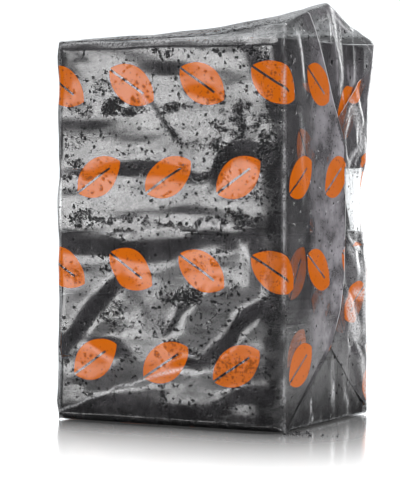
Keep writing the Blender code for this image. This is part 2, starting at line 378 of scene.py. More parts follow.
def grain(bm, place, size, thickness, flat_axis, rng):
    """One angular grain, flattened along an axis."""
    made = bmesh.ops.create_icosphere(bm, subdivisions=1, radius=0.5)["verts"]
    stretch = [size * rng.uniform(0.6, 1.1) for _ in range(3)]
    stretch[flat_axis] = thickness
    for vert in made:
        rough = rng.uniform(0.7, 1.05)
        vert.co = Vector(value * rough * length for value, length in zip(vert.co, stretch)) + place


rng = random.Random(11)
crumbs = bmesh.new()
for number in range(CRUMBS):
    if rng.random() < AT_JOINTS:
        down = PITCH * rng.randrange(1, LAYERS) + rng.gauss(0, JOINT_SPREAD)
    else:
        down = rng.uniform(2, BLOCK_HIGH[2] - BLOCK_LOW[2] - 2)
    size = 0.4 + 1.3 * rng.random() ** 2
    if number % 4:
        place = Vector((rng.uniform(-48, 49), BLOCK_LOW[1] - UNDER_FILM, BLOCK_HIGH[2] - down))
    else:
        place = Vector((BLOCK_HIGH[0] + UNDER_FILM, rng.uniform(-36, 8), BLOCK_HIGH[2] - down))
    grain(crumbs, place, size, min(THICKEST, size), 1 if number % 4 else 0, rng)
finish_piece("charcoal_crumbs", crumbs, pressed_charcoal)

fallen = bmesh.new()
for _ in range(FALLEN):
    size = 0.5 + 0.9 * rng.random() ** 2
    spot = Vector((52.5 + abs(rng.gauss(0, 8)), rng.gauss(-38, 4), size * 0.4))
    grain(fallen, spot, size, size * 0.8, 2, rng)
fallen_crumbs = make_object("fallen_crumbs", fallen, pressed_charcoal)
print("crumbs:", CRUMBS, "inside,", FALLEN, "fallen")

# %% [markdown]
# The film is one sheet. It goes round the block as a sleeve whose long edges overlap across the back, and
# what stands out past each end is folded in as an envelope: the top and bottom flaps first, then the back
# flap, and the front flap over them. Each panel starts as a flat grid, as the film lies on its roll, and
# is then folded by moving its points. Its UV map keeps the flat place in millimetres, so that the print
# runs over the edges and into the folds as it does on real film.

# %% The film's box
OFF = 0.4  # mm between the cubes and the film
CORNER = 1.2  # mm, how tightly the film turns an edge
HALF_X = BLOCK_HIGH[0] + OFF
HALF_Y = BLOCK_HIGH[1] + OFF
BOTTOM, TOP = BLOCK_LOW[2] - OFF, BLOCK_HIGH[2] + OFF
DEPTH, HEIGHT = 2 * HALF_Y, TOP - BOTTOM
SEAM = 12.0  # mm that the sheet's long edges overlap across the back
LAYER = 0.25  # mm between one layer of film and the next

# How far the loose film stands above the block: along the front edge, from front to back, and along the end
FRONT_RISE = ((-51, 1.6), (-47.5, 0.2), (-45, 1.5), (-38, 1.8), (-12, 2.8), (13, 4.6), (40, 7.0), (51, 7.0))
DEPTH_SHARE = ((-38, 0.25), (-28, 1.0), (0, 0.85), (38, 0.35))
EAR_RISE = ((-38, 5.0), (-24, 8.8), (1, 14.9), (8, 12.6), (21, 6.9), (27, 6.0), (38, 0.4))
EAR_REACH = 34.0

# How far the top and bottom flaps reach over the ends, from the front edge to the back
TOP_FLAP = ((0, 54), (40, 54), (80, 51.5))
BOTTOM_FLAP = ((0, 81), (28, 81), (36, 74), (80, 73))

# Outlines of the end folds: how far down from the top, and how far the flap reaches from its own edge there
FRONT_FLAP = ((0, 20), (29, 46), (42, 55), (95, 53), (108, 49), (122, 40), (146, 8), (152.3, 0.6))
BACK_FLAP = ((0, 2), (13, 3), (30, 30), (46, 52), (60, 54), (98, 54), (110, 50), (122, 36), (148, 4),
             (152.3, 0.6))


def read(table, places):
    """Reads a table of (place, value), straight between its points."""
    return np.interp(places, *zip(*table))


def film_rise(x, y):
    """How far the loose film stands above the block at a place, in mm."""
    along_front = read(FRONT_RISE, x) * read(DEPTH_SHARE, y)
    share = ease((x - (HALF_X - EAR_REACH)) / EAR_REACH)
    return along_front + share * (read(EAR_RISE, y) - along_front)


print(f"film's box: {2 * HALF_X:.1f} x {DEPTH:.1f} x {HEIGHT:.1f} mm")

# %% [markdown]
# Folds are what make film look like film: wherever it tips, it mirrors another part of the room. So a
# fold is written here as a tip, the way the eye sees it: a stroke over the face that says which way the
# film tips there and by how many degrees. The strokes' places are in millimetres from the face's left
# edge and down from its top. A film can't take any tips at all, so the relief is the surface whose slopes
# come nearest to those asked for. That is Poisson's equation, and a Fourier transform solves it in one
# step.

# %% Relief from tips
UP, DOWN, LEFT, RIGHT = (0, 1), (0, -1), (1, 0), (-1, 0)  # how the height grows, across and down
UP_LEFT, UP_RIGHT = (1, 1), (-1, 1)
RELIEF_PITCH = 0.5  # mm between the points of a relief
RELIEF_MARGIN = 16  # mm of slack round it
FILM_PULL = 1 / 40  # per mm: how soon the film comes back to the cubes beside a fold
RELIEF_ROUNDS = 4
FILM_STIFFNESS = 0.95  # mm: folds sharper than this are rounded off


def wander(across, down, wide, tall, seed):
    """Gentle noise over a face, stretched to that many mm wide and tall, from about -1 to 1."""
    first, second = across / wide, down / tall
    # the turn keeps folds off the noise's own grid
    turned = zip((0.8 * first + 0.6 * second).flat, (0.8 * second - 0.6 * first).flat)
    return np.array([noise.noise((a, b, seed)) * 1.6 for a, b in turned]).reshape(across.shape)


def stroke_mask(x, y, softness, path):
    """1 on a stroke and 0 off it, with soft sides. Its path is a row of (x, y, half width)."""
    mask = np.zeros_like(x)
    for (x0, y0, half0), (x1, y1, half1) in zip(path, path[1:]):
        long_x, long_y = x1 - x0, y1 - y0
        along = np.clip(((x - x0) * long_x + (y - y0) * long_y) / (long_x ** 2 + long_y ** 2), 0, 1)
        far = np.hypot(x - x0 - along * long_x, y - y0 - along * long_y)
        half = half0 + along * (half1 - half0)
        mask = np.maximum(mask, ease(0.5 + (half - far) / (2 * softness)))
    return mask


def strongest(x, y, table):
    """The strongest of a table's strokes at each point: (how much, softness, path)."""
    return np.max([amount * stroke_mask(x, y, softness, path) for amount, softness, path in table], axis=0)


def small_folds(rng, count, low, high, heading, spread_of, steepest):
    """Short random folds between two corners of a face. A heading is in degrees, 0 across and 90 down."""
    strokes = []
    for _ in range(count):
        x, y = rng.uniform(low[0], high[0]), rng.uniform(low[1], high[1])
        turn = math.radians(rng.gauss(heading, spread_of))
        half_length = rng.uniform(3, 11)
        reach_x, reach_y = half_length * math.cos(turn), half_length * math.sin(turn)
        thick = rng.uniform(0.4, 1.3)
        bend = rng.uniform(-1.5, 1.5)
        way = (-math.sin(turn), math.cos(turn)) if rng.random() < 0.6 else (math.sin(turn), -math.cos(turn))
        path = ((x - reach_x, y - reach_y, 0.2),
                (x - bend * math.sin(turn), y + bend * math.cos(turn), thick),
                (x + reach_x, y + reach_y, 0.2))
        strokes.append((way, rng.uniform(0.3, 1.0) * steepest, 0.7, path))
    return strokes


def relief(width, height, small, strokes, seed):
    """Heights in mm over a face, from its small folds and its strokes: (way, degrees, softness, path).

    A short or slanting stroke loses some of its tip, so its call is raised until its middle tips as asked.
    """
    xs = np.arange(-RELIEF_MARGIN, width + RELIEF_MARGIN, RELIEF_PITCH)
    ys = np.arange(-RELIEF_MARGIN, height + RELIEF_MARGIN, RELIEF_PITCH)
    x, y = np.meshgrid(xs, ys)
    shaken_x = x + 2.0 * wander(x, y, 13, 13, seed) + 0.7 * wander(x, y, 3.5, 3.5, seed + 0.5)
    shaken_y = y + 1.8 * wander(x, y, 15, 11, seed + 3) + 0.7 * wander(x, y, 3.5, 3.5, seed + 3.5)
    waves = [2 * math.pi * np.fft.fftfreq(len(line), RELIEF_PITCH) for line in (xs, ys)]
    wave_x, wave_y = np.meshgrid(*waves)
    wave = wave_x ** 2 + wave_y ** 2
    rounded = np.exp(-wave * FILM_STIFFNESS ** 2 / 2)
    calls = [(np.array(way) / math.hypot(*way), math.tan(math.radians(degrees)),
              stroke_mask(shaken_x, shaken_y, softness, path)) for way, degrees, softness, path in strokes]
    small_slope = np.zeros((2,) + x.shape)
    for way, degrees, softness, path in small:
        mask = stroke_mask(shaken_x, shaken_y, softness, path)
        tipped = np.array(way)[:, None, None] * math.tan(math.radians(degrees))
        small_slope = small_slope * (1 - mask) + tipped * mask
    gains = [1.0] * len(calls)
    for _ in range(RELIEF_ROUNDS):
        slope = small_slope.copy()
        for gain, (way, asked, mask) in zip(gains, calls):
            slope = slope * (1 - mask) + way[:, None, None] * (gain * asked) * mask
        spread_out = -1j * (wave_x * np.fft.fft2(slope[0]) + wave_y * np.fft.fft2(slope[1]))
        heights = np.real(np.fft.ifft2(spread_out * rounded / (wave + FILM_PULL ** 2)))
        down_slope, across_slope = np.gradient(heights, RELIEF_PITCH)
        for number, (way, asked, mask) in enumerate(calls):
            got = (mask * (way[0] * across_slope + way[1] * down_slope)).sum() / mask.sum()
            gains[number] = min(gains[number] * asked / max(got, asked / 2), 2.5)
    inside = heights[(y > 0) & (y < height) & (x > 0) & (x < width)]
    print(f"relief of {len(small) + len(strokes)} folds: {inside.min():.2f} to {inside.max():.2f} mm")
    return heights - np.percentile(inside, 4)


def read_relief(heights, across, down):
    """Height at each point of the face, between the relief's points."""
    column = np.clip((across + RELIEF_MARGIN) / RELIEF_PITCH, 0, heights.shape[1] - 1.001)
    row = np.clip((down + RELIEF_MARGIN) / RELIEF_PITCH, 0, heights.shape[0] - 1.001)
    c, r = column.astype(int), row.astype(int)
    right, below = column - c, row - r
    upper = heights[r, c] * (1 - right) + heights[r, c + 1] * right
    lower = heights[r + 1, c] * (1 - right) + heights[r + 1, c + 1] * right
    return upper * (1 - below) + lower * below


# %% [markdown]
# The front's folds were read off the picture one by one, and each is a row of the table: the way it tips,
# by how many degrees, how soft its sides are, and its path with a half width at each point. Between them
# lie small folds that nobody could place one by one, so those are drawn at random, with a seed. A cloth
# simulation would give folds as well, but not these, in these places.

# %% Folds of the front
LOW_TIP, LOW_TIP_FROM = 0.02, 88  # the film leans out a little over the lower half
FRONT_STROKES = (
    (DOWN, 1.0, 2.5, ((2, 3, 2), (20, 3, 3), (45, 3, 2))),
    (DOWN, 3.0, 1.6, ((48, 0.5, 1.5), (62, 1, 2), (80, 0.5, 1.5))),
    (UP, 2, 2.0, ((28, 104, 3), (27, 111, 4), (27, 118, 4))),
    (UP, 4, 3.0, ((66, 106, 4), (72, 110, 5), (64, 116, 4))),
    (UP, 2, 2.0, ((0, 128, 4), (6, 132, 4))),
    (UP, 2, 3.6, ((14, 64, 4), (30, 66, 6), (50, 66, 6.5), (74, 66, 5))),
    (UP, 2, 3.6, ((36, 101, 4), (39, 111, 6), (34, 119, 5))),
    (UP, 2, 2.9, ((0, 103, 3), (4, 109, 4))),
    (UP, 2, 2.0, ((82, 128, 2), (88, 121, 4), (95, 112, 4))),
    (UP, 2, 2.9, ((9, 141.5, 1), (20, 138, 3), (32, 133.5, 3.5), (42, 130, 1.5))),
    (UP, 2, 3.6, ((48, 134, 3), (62, 133, 4.5), (73, 135.5, 3))),
    (DOWN, 1.0, 3.6, ((50, 2, 2), (64, 5, 3), (84, 6, 3))),
    (UP, 5, 1.6, ((12, 69.5, 0.8), (30, 68.5, 1.2), (50, 67.5, 1.5), (68, 69.5, 2), (88, 70, 1))),
    (UP, 4.5, 1.2, ((4, 37, 0.6), (20, 38.5, 1.0), (44, 39, 1.2), (60, 38, 0.6))),
    (UP, 4, 3.0, ((-2, 60, 3), (8, 62, 3.5), (16, 66, 2))),
    (UP, 11, 5.1, ((-3, 78.5, 6), (8, 80, 6), (22, 81.5, 5.6), (34, 83, 4.6), (46, 83, 4.0), (56, 80, 4.2),
                   (66, 77.5, 3.2), (80, 75.5, 2.2), (103, 75, 2.0))),
    (UP, 11, 4.6, ((19, 50, 1), (32, 50.5, 3), (45, 51, 3.8), (56, 53.5, 4), (66, 55.5, 3.5),
                   (76, 57, 1.5))),
    ((0.87, 0.5), 12, 2.6, ((69, 61, 1), (73, 54, 3), (77, 46, 3.5), (82, 39, 2), (84, 34, 0.5))),
    (UP, 4.5, 5.1, ((-3, 32.5, 2), (10, 33, 3.5), (24, 33.5, 2.5), (34, 33, 0.5))),
    (UP, 4.5, 4.3, ((24, 1, 1), (33, 5, 2.5), (44, 9.5, 3), (55, 12, 3.2), (66, 13, 2), (76, 13, 0.5))),
    (UP_LEFT, 12, 2.0, ((3, 8, 1.5), (4.5, 13, 3), (5.5, 19, 2.5), (7, 24, 0.5))),
    (UP, 7, 1.0, ((5, 3, 0.5), (11, 4, 0.8), (14, 8, 0.8), (15, 14, 0.3))),
    (UP, 10, 2.6, ((63, 20, 0.5), (68, 21, 2), (72, 24, 2), (74, 28, 0.5))),
    (UP_RIGHT, 11, 2.3, ((89, 2, 1), (91, 8, 2.5), (93.5, 14, 2.5), (96, 20, 1))),
    (UP, 12, 2.2, ((84, 40, 1), (88, 42, 3), (92, 45, 3.5), (97, 48, 3), (101, 50, 2))),
    (UP, 13, 1.2, ((76, 81, 1), (80, 80, 2.4), (83, 80.5, 0.5))),
    (RIGHT, 13, 2.0, ((90, 77, 1.5), (91, 84, 3.2), (91, 92, 3), (90, 96, 1))),
    (LEFT, 7, 1.0, ((85, 78, 0.5), (85, 84, 1.5), (86, 90, 0.5))),
    (UP, 13, 1.2, ((27, 95, 0.7), (32, 96.5, 3.4), (37, 97, 1))),
    (UP_LEFT, 16, 2.4, ((31, 93, 1), (25, 98.5, 4), (19, 104, 5.5), (13, 111, 5.5), (8, 118, 4),
                        (3, 125, 1.5))),
    (UP, 16, 2.0, ((17, 120, 1), (24, 121.5, 4.2), (29, 123, 4.8), (33, 125, 2))),
    (UP, 12, 0.9, ((41.5, 104, 1), (42, 108, 1))),
    (UP_LEFT, 14, 2.9, ((67, 96, 1), (61, 102, 3), (56, 109, 3.5), (51, 115, 1))),
    (UP, 12, 2.2, ((2, 138, 1), (5, 144, 3), (10, 139, 1.5))),
    ((0.65, 0.76), 16, 2.4, ((66, 127, 1), (73, 121, 3.5), (80, 114.5, 4), (87, 108, 3.8), (96, 101, 2))),
    (RIGHT, 12, 2.2, ((94, 104, 1), (97, 114, 2.4), (97, 124, 3), (98, 132, 2))),
    (UP, 11, 2.3, ((70, 126, 1), (78, 127.5, 3), (86, 127, 3.5), (95, 126, 2))),
    (UP, 11, 2.6, ((50, 130, 1), (58, 126.5, 3.2), (66, 125, 1.5))),
    (UP, 15, 3.0, ((76, 143, 3), (86, 139, 6), (94, 139, 7), (100, 135, 4))),
    (UP, 10, 4.3, ((-3, 150.5, 3.5), (12, 150, 3), (25, 148, 4), (45, 145.5, 5.5), (60, 146.5, 5),
                   (75, 148.5, 4), (103, 149, 5))),
    (UP, 9, 2.0, ((0, 53, 1.0), (10, 52.5, 1.8), (21, 52, 1.0))),
    (RIGHT, 10, 2.6, ((99.5, -3, 2.6), (99, 20, 2), (99.5, 40, 3.2), (99, 52, 2.5), (97.5, 60, 3.5),
                      (99, 68, 2.5), (97, 77, 4.5), (99.5, 92, 2.5), (99, 104, 2), (98.5, 130, 3.5),
                      (98, 155, 4))),
    ((0.35, 0.94), 14, 2.3, ((1, 148, 2.2), (12, 145.5, 3.2), (28, 142.5, 3.0), (44, 139.5, 2.2),
                             (56, 137, 0.6))),
    ((-0.35, -0.94), 2, 1.2, ((4, 142, 0.5), (14, 139, 1.8), (30, 133.5, 2.2), (42, 130, 1.2))),
    ((0.35, 0.94), 8, 1.0, ((14, 134.5, 0.4), (28, 129, 0.9), (38, 125.5, 0.4))),
    ((-0.7, 0.6), 12, 0.8, ((38, 19, 0.3), (46, 31, 0.8), (53, 38, 0.6))),
    (UP, 5, 2.9, ((30, 42, 1), (45, 41.5, 2), (60, 43, 1))),
    (UP, 5, 2.9, ((60, 90, 1), (74, 92, 2), (82, 96, 1))),
    (DOWN, 6, 0.5, ((38, 57.5, 0.4), (95, 57.5, 0.4))),
    (UP, 6, 0.5, ((24, 108.6, 0.4), (80, 108.6, 0.4))),
    (RIGHT, 5, 0.5, ((42, 104, 0.4), (42, 118, 0.4))),
)
rng = random.Random(7)
front_small = small_folds(rng, 90, (0, 0), (100, 100), 4, 22, 9.0) + small_folds(
    rng, 60, (0, 92), (100, 150), -28, 20, 9.0)
front_relief = relief(2 * HALF_X, HEIGHT, front_small, FRONT_STROKES, 20)


# %% [markdown]
# On the ends the film is looser, and creases run down from the ear. Their strokes use distances from the
# front edge and down from the top. Film that tips to the right here, towards the back, mirrors the lamp
# behind the pack and flashes white.

# %% Folds of the ends
TOP_FLAP_STROKES = (
    (RIGHT, 10, 0.9, ((40, 7, 0.2), (38, 14, 0.8), (35, 24, 0.2))),
    (RIGHT, 12, 0.8, ((44, 8, 0.2), (50, 13, 0.9), (53, 26, 0.3))),
    (LEFT, 16, 1.2, ((30, -4, 2), (34, 6, 2.5), (40, 18, 2))),
    (UP, 12, 1.0, ((36, -6, 1.5), (34, 6, 1.5))),
    (LEFT, 10, 1.5, ((56, -2, 3), (57, 10, 3), (54, 22, 2))),
    (RIGHT, 8, 0.8, ((64, 8, 0.4), (62, 16, 0.4), (57, 26, 0.2))),
    (DOWN, 12, 1.2, ((24, -8, 1.5), (40, -9, 2.5), (52, -4, 1.5))),
    (LEFT, 12, 1.0, ((70, 0, 1.5), (69, 14, 1.5))),
    (RIGHT, 12, 0.7, ((43, 126, 0.5), (43.5, 135, 1.2), (43, 147, 0.5))),
    (RIGHT, 12, 0.8, ((52, 133, 0.3), (54, 140, 1.0), (58, 147, 0.4))),
    (LEFT, 10, 1.0, ((47, 130, 1.0), (48, 146, 1.5))),
)
BACK_FLAP_STROKES = (
    (RIGHT, 8, 1.0, ((59, 56, 2), (61, 66, 3), (63, 74, 2))),
    (RIGHT, 11, 0.8, ((62, 20, 0.8), (67, 24, 3.0), (73, 29, 2.5))),
    (RIGHT, 11, 0.9, ((56, 30, 0.8), (59, 36, 2.0), (58, 44, 1.2))),
    (RIGHT, 11, 0.8, ((60, 126, 0.8), (66, 133, 2.2), (72, 141, 1.2))),
    (LEFT, 9, 1.2, ((67, 54, 1.5), (68, 64, 2), (68, 74, 1.5))),
    (UP, 14, 0.8, ((57, 79, 1), (64, 80, 1.5), (72, 84, 1.5))),
    (RIGHT, 10, 1.0, ((58, 80, 0.5), (63, 86, 2.4), (69, 92, 1.0))),
    (LEFT, 10, 1.2, ((58, 84, 2), (60, 92, 3), (62, 98, 2))),
    (RIGHT, 10, 0.9, ((55, 44, 0.5), (58, 34, 1.4), (62, 26, 0.5))),
    (RIGHT, 10, 1.0, ((57, 52, 0.6), (61, 47, 2.0), (64, 40, 1.2), (66, 32, 0.4))),
    (LEFT, 12, 1.5, ((60, 36, 2.5), (63, 44, 2))),
    (RIGHT, 11, 1.0, ((55, 100, 1.5), (59, 106, 3.5), (64, 114, 5.5), (67, 123, 3.0))),
    (UP, 16, 0.8, ((60, 122, 1.5), (70, 124, 2.0))),
    (LEFT, 14, 1.0, ((55, 103, 1.5), (58, 112, 2), (62, 120, 1.5))),
    (RIGHT, 12, 1.0, ((58, 112, 0.8), (59, 122, 1.6), (58, 130, 0.8))),
    (LEFT, 14, 1.0, ((62, 128, 2), (68, 136, 2.5), (72, 144, 2))),
    (RIGHT, 13, 0.8, ((66, 140, 0.6), (75, 147, 1.2))),
)
FRONT_FLAP_STROKES = (
    (LEFT, 3, 3.0, ((8, 110, 4), (24, 96, 4))),
    (RIGHT, 8, 1.2, ((9, 4, 0.8), (14, 12, 1.4), (17, 22, 0.5))),
    (RIGHT, 9, 0.7, ((4, 1, 0.6), (18, 3, 0.8))),
    (DOWN, 5, 0.5, ((10, 80, 0.5), (53, 80, 0.5))),
    (UP, 8, 0.5, ((0, 71, 0.6), (29, 71, 0.6))),
    (UP, 7, 0.4, ((19, 65, 0.4), (29, 71, 0.5))),
    (UP, 5, 0.4, ((33, 54, 0.4), (70, 54, 0.4))),
    (LEFT, 5, 1.2, ((7, 28, 0.6), (7, 45, 1.4), (6, 62, 0.6))),
    (RIGHT, 4, 1.2, ((14, 30, 0.6), (15, 48, 1.2), (15, 64, 0.6))),
)
top_flap_small = small_folds(rng, 60, (22, -10), (76, 40), 82, 25, 12.0) + small_folds(
    rng, 40, (20, 118), (76, 152), 70, 25, 9.0)
top_flap_relief = relief(DEPTH, HEIGHT, top_flap_small, TOP_FLAP_STROKES, 30)
back_flap_small = small_folds(rng, 80, (44, 20), (77, 150), 75, 30, 9.0)
back_flap_relief = relief(DEPTH, HEIGHT, back_flap_small, BACK_FLAP_STROKES, 40)
front_flap_small = small_folds(rng, 40, (0, 0), (56, 146), 84, 14, 1.4)
front_flap_relief = relief(DEPTH, HEIGHT, front_flap_small, FRONT_FLAP_STROKES, 50)

# %% [markdown]
# A strip of the sheet is folded in steps, all of its points at once. It starts as a grid, cut finer where
# the film shows more. Its points are put on a box with sharp edges, and the box is then pulled onto a
# rounded form. The points keep what later steps need to know of them: the side they are on, how far from
# the front edge and from the top, how far beyond the edge that a flap folds over, and whether the cube
# under them is the broken one.

# %% Put a strip on its box
LEFT_LINES = 18  # grid lines across a flap on the left, which the camera doesn't see
GAP_FRONT, GAP_TOP, GAP_FOOT = 52, 49, 79  # mm from the front edge and the top to the broken cube's place


def spread(low, high, pitch):
    """Even steps from one place to another, of about that pitch."""
    count = max(1, round((high - low) / pitch))
    return [low + (high - low) * step / count for step in range(count + 1)]


def put_on_box(bm, side, across_pitch, right_lines, rows, flap_reach):
    """Makes a strip's grid and puts it on the box. Its lines run across the pack at the rows' places."""
    left_shares = [-step / LEFT_LINES for step in range(LEFT_LINES, 0, -1)]
    middle = spread(-HALF_X, HALF_X, across_pitch)
    right_shares = [step / right_lines for step in range(1, right_lines + 1)]
    columns = np.array(left_shares + middle + right_shares)
    bmesh.ops.create_grid(bm, x_segments=len(columns) - 1, y_segments=len(rows) - 1, size=0.5)
    column_of = np.array([round((vert.co.x + 0.5) * (len(columns) - 1)) for vert in bm.verts])
    row = np.array([rows[round((vert.co.y + 0.5) * (len(rows) - 1))] for vert in bm.verts])
    place = columns[column_of]
    end = 1.0 * (column_of >= LEFT_LINES + len(middle)) - (column_of < LEFT_LINES)
    reach = read(flap_reach, TOP - row if side in ("front", "back") else row + HALF_Y)
    beyond = np.where(end != 0, np.abs(place) * reach, 0.0)
    x = np.where(end != 0, end * HALF_X, place)
    point = np.stack({
        "front": (x, -HALF_Y + beyond, row), "back": (x, HALF_Y - beyond, row),
        "top": (x, row, TOP - beyond), "bottom": (x, row, BOTTOM + beyond)}[side], 1)
    core = np.clip(point, (CORNER - HALF_X, CORNER - HALF_Y, CORNER + BOTTOM),
                   (HALF_X - CORNER, HALF_Y - CORNER, TOP - CORNER))
    outward = point - core
    outward /= np.linalg.norm(outward, axis=1)[:, None]
    from_front, down = point[:, 1] + HALF_Y, TOP - point[:, 2]
    gap = (ease((from_front - GAP_FRONT) / 3) * ease((down - GAP_TOP) / 2) * ease((GAP_FOOT - down) / 2)
           * (x > HALF_X - CUBE))
    return SimpleNamespace(
        side=side, row=row, x=x, point=point, core=core, outward=outward, on_end=end != 0, reach=reach,
        beyond=beyond, from_front=from_front, down=down, gap=gap, flat_u=x + end * beyond)


print("the film's width in four even steps, mm:", np.round(spread(-HALF_X, HALF_X, HALF_X / 2), 1))


# %% [markdown]
# Then each point is moved outwards: by its layer, because flaps lie on each other, and by its folds. The
# strokes give the large folds, and a little gentle noise keeps the film between them from being flat. A
# flap under another one is pressed smooth by it, and the front flap's cut edge curls up a little.

# %% Layers and folds
CALM_EDGE = 4  # mm beside a folded edge in which the folds die away


def stands_off(at, layer):
    """How far each point stands off the box, in mm."""
    x, down, from_front, beyond = at.x, at.down, at.from_front, at.beyond
    pressed = 1 - 0.9 * ease((read(FRONT_FLAP, down) - from_front) / 3) * ease((down - 6) / 10)
    if at.side == "front":
        face = read_relief(front_relief, x + HALF_X, down)
        face += 0.22 * wander(x + HALF_X, down, 30, 9, 1.5) + 0.24 * wander(x + HALF_X, down, 24, 6.5, 4.5)
        face += LOW_TIP * np.maximum(down - LOW_TIP_FROM, 0)
        to_edge = np.minimum(HALF_X - np.abs(x), np.minimum(down, at.row - BOTTOM))
        face = np.maximum(face, -0.2) * ease(to_edge / 3)
        flap = read_relief(front_flap_relief, from_front, down)
        flap += 0.05 * wander(from_front, down, 14, 10, 2.5)
        curled = 0.3 * ease(1 - (at.reach - beyond) / 3)
        flap = np.maximum(flap, 0) * ease(beyond / CALM_EDGE) + curled
    elif at.side == "back":
        face = (0.25 + 0.25 * wander(x, down, 26, 10, 5.5)) * ease((HALF_X - np.abs(x)) / CALM_EDGE)
        flap = read_relief(back_flap_relief, from_front, down)
        flap += 0.14 * np.abs(wander(from_front, down, 7, 9, 6.5))
        over_gap = (down > GAP_TOP) & (down < GAP_FOOT) & (from_front > GAP_FRONT) & (x > 0)
        flap = np.where(over_gap, 0.4 * flap, flap) * pressed
        flap = np.maximum(flap, -0.1) * ease(beyond / CALM_EDGE)
    else:
        face = (at.side == "top") * (0.3 + 0.3 * wander(x, at.row, 18, 9, 8.5))
        flap = read_relief(top_flap_relief, from_front, down)
        flap += 0.2 * np.abs(wander(from_front, down, 6, 12, 7.5))
        flap = np.maximum(flap * pressed, 0) * ease((beyond + 2) / CALM_EDGE)
    return np.where(at.on_end, layer[1] + flap, layer[0] + face)


print(f"layers of film lie {LAYER} mm apart")


# %% [markdown]
# Last, film that nothing holds moves away from the box. Above the block it rises towards the right and
# ends in the ear. Beside it, the left edge bellies out, and the edge at the back right hangs into the gap
# that the broken cube leaves. All strips read the same rise and sway at a place, so that they still meet.

# %% Loose film
END_LIFT, EDGE_LIFT = 32, 1.4  # mm from the top in which the film rises, on the ends and on the other sides
LOWEST = 0.05  # mm, so that nothing dips into the floor
# The right back edge of the film: how far down, and how far it stands off the block
BACK_EDGE = ((0, 3.2), (8, 2.4), (22, 0.5), (48, 0.1), (55, -1.8), (62, -2.6), (70, -2.6), (78, -1.2),
             (84, -0.2), (92, 0.4), (108, 0.2), (122, 0.5), (140, 0.1), (152, 0.6))


def sway(point):
    """How far loose film stands off, or hangs in, beside the block."""
    x, y, z = point[:, 0], point[:, 1], point[:, 2]
    down = TOP - z
    move = np.zeros_like(point)
    on_left = ease((-HALF_X + 3 - x) / 3) * ease(down / 6) * ease((z - BOTTOM) / 8)
    move[:, 0] -= on_left * (0.6 + 0.6 * wander(down, y / 3, 11, 11, 41.5))
    edge = ease(1 - np.hypot(HALF_X - x, HALF_Y - y) / 14)
    hang = read(BACK_EDGE, down)
    move[:, 0] += edge * hang * 0.75
    move[:, 1] += edge * hang * 0.65
    return move


def fold(at, height):
    """Each point's place once the strip is folded, and how far it rose, in mm."""
    boxed = at.core + at.outward * (CORNER + height)[:, None]
    folded = boxed + sway(at.point)
    lift_from = np.where(at.on_end, TOP - END_LIFT, TOP - EDGE_LIFT)
    lift = ease((at.point[:, 2] - lift_from) / (TOP - lift_from))
    folded[:, 2] += lift * film_rise(at.x, at.point[:, 1])
    folded[:, 2] = np.maximum(folded[:, 2], LOWEST)
    return folded, folded[:, 2] - boxed[:, 2]


print(f"the film hangs into the gap by up to {-min(hang for _, hang in BACK_EDGE)} mm")


# %% [markdown]
# Six numbers travel with the sheet, and its material reads them as attributes, so that dirt and wear can
# lie where the real film has them, and painted shade and highlights with them. The first is grit:
# charcoal grains caught under the film press small dimples into it. The second blackens the film, mostly
# along the lower edge and the right one: partly settled dust, so fine that it only blackens the film,
# and partly painted shade, which also lies along the dark bands of the folds. Both come from tables of
# places, shaken by noise so that no patch has a drawn outline.

# %% Grit, and dust with painted shade
FEW, MANY = 0.15, 0.65  # how much grit lies everywhere on the front, and at the front edge of the top
HIDDEN_GRIT = 0.05
GRIT_PLACES = (
    # from the left, down from the top, half width, half height, how much
    (32, 27, 12, 3, 1.0), (12, 28, 8, 2, 0.5), (54, 26, 6, 4, 0.9), (72, 24, 6, 3, 0.6),
    (82, 33, 12, 7, 0.7), (95, 45, 5, 8, 0.8), (50, 36, 4, 5, 0.8), (60, 42, 14, 4, 0.4),
    (8, 46, 8, 2.5, 0.6), (12, 52.5, 14, 1.5, 1.0), (38, 49, 3, 3, 0.6), (66, 53, 14, 3, 0.9),
    (75, 45, 6, 8, 0.7), (20, 71, 20, 3, 0.7), (55, 74, 20, 2, 1.0), (82, 70.5, 10, 2, 0.9),
    (30, 77, 12, 1.5, 0.5), (6, 92, 5, 6, 0.6), (58, 101, 14, 4, 0.9), (28, 107, 8, 10, 0.45),
    (48, 113, 6, 5, 0.5), (72, 108, 3, 6, 0.5), (24, 89, 4, 3, 0.4), (70, 88, 8, 5, 0.4),
    (80, 98, 6, 3, 0.5), (58, 123, 12, 2.5, 0.8), (34, 125, 4, 3, 0.4), (84, 128, 14, 5, 0.9),
    (80, 145, 12, 6, 0.45), (50, 140, 4, 6, 0.6), (28, 138, 3, 3, 0.4), (47, 6, 4, 3, 0.6),
    (66, 4, 10, 3, 0.4), (84, 2, 10, 3, 0.6), (94, 8, 5, 8, 0.5), (20, 17, 5, 7, 0.4),
    (12, 40, 10, 5, 0.3), (90, 60, 8, 6, 0.4), (97, 60, 4, 90, 0.45),
)
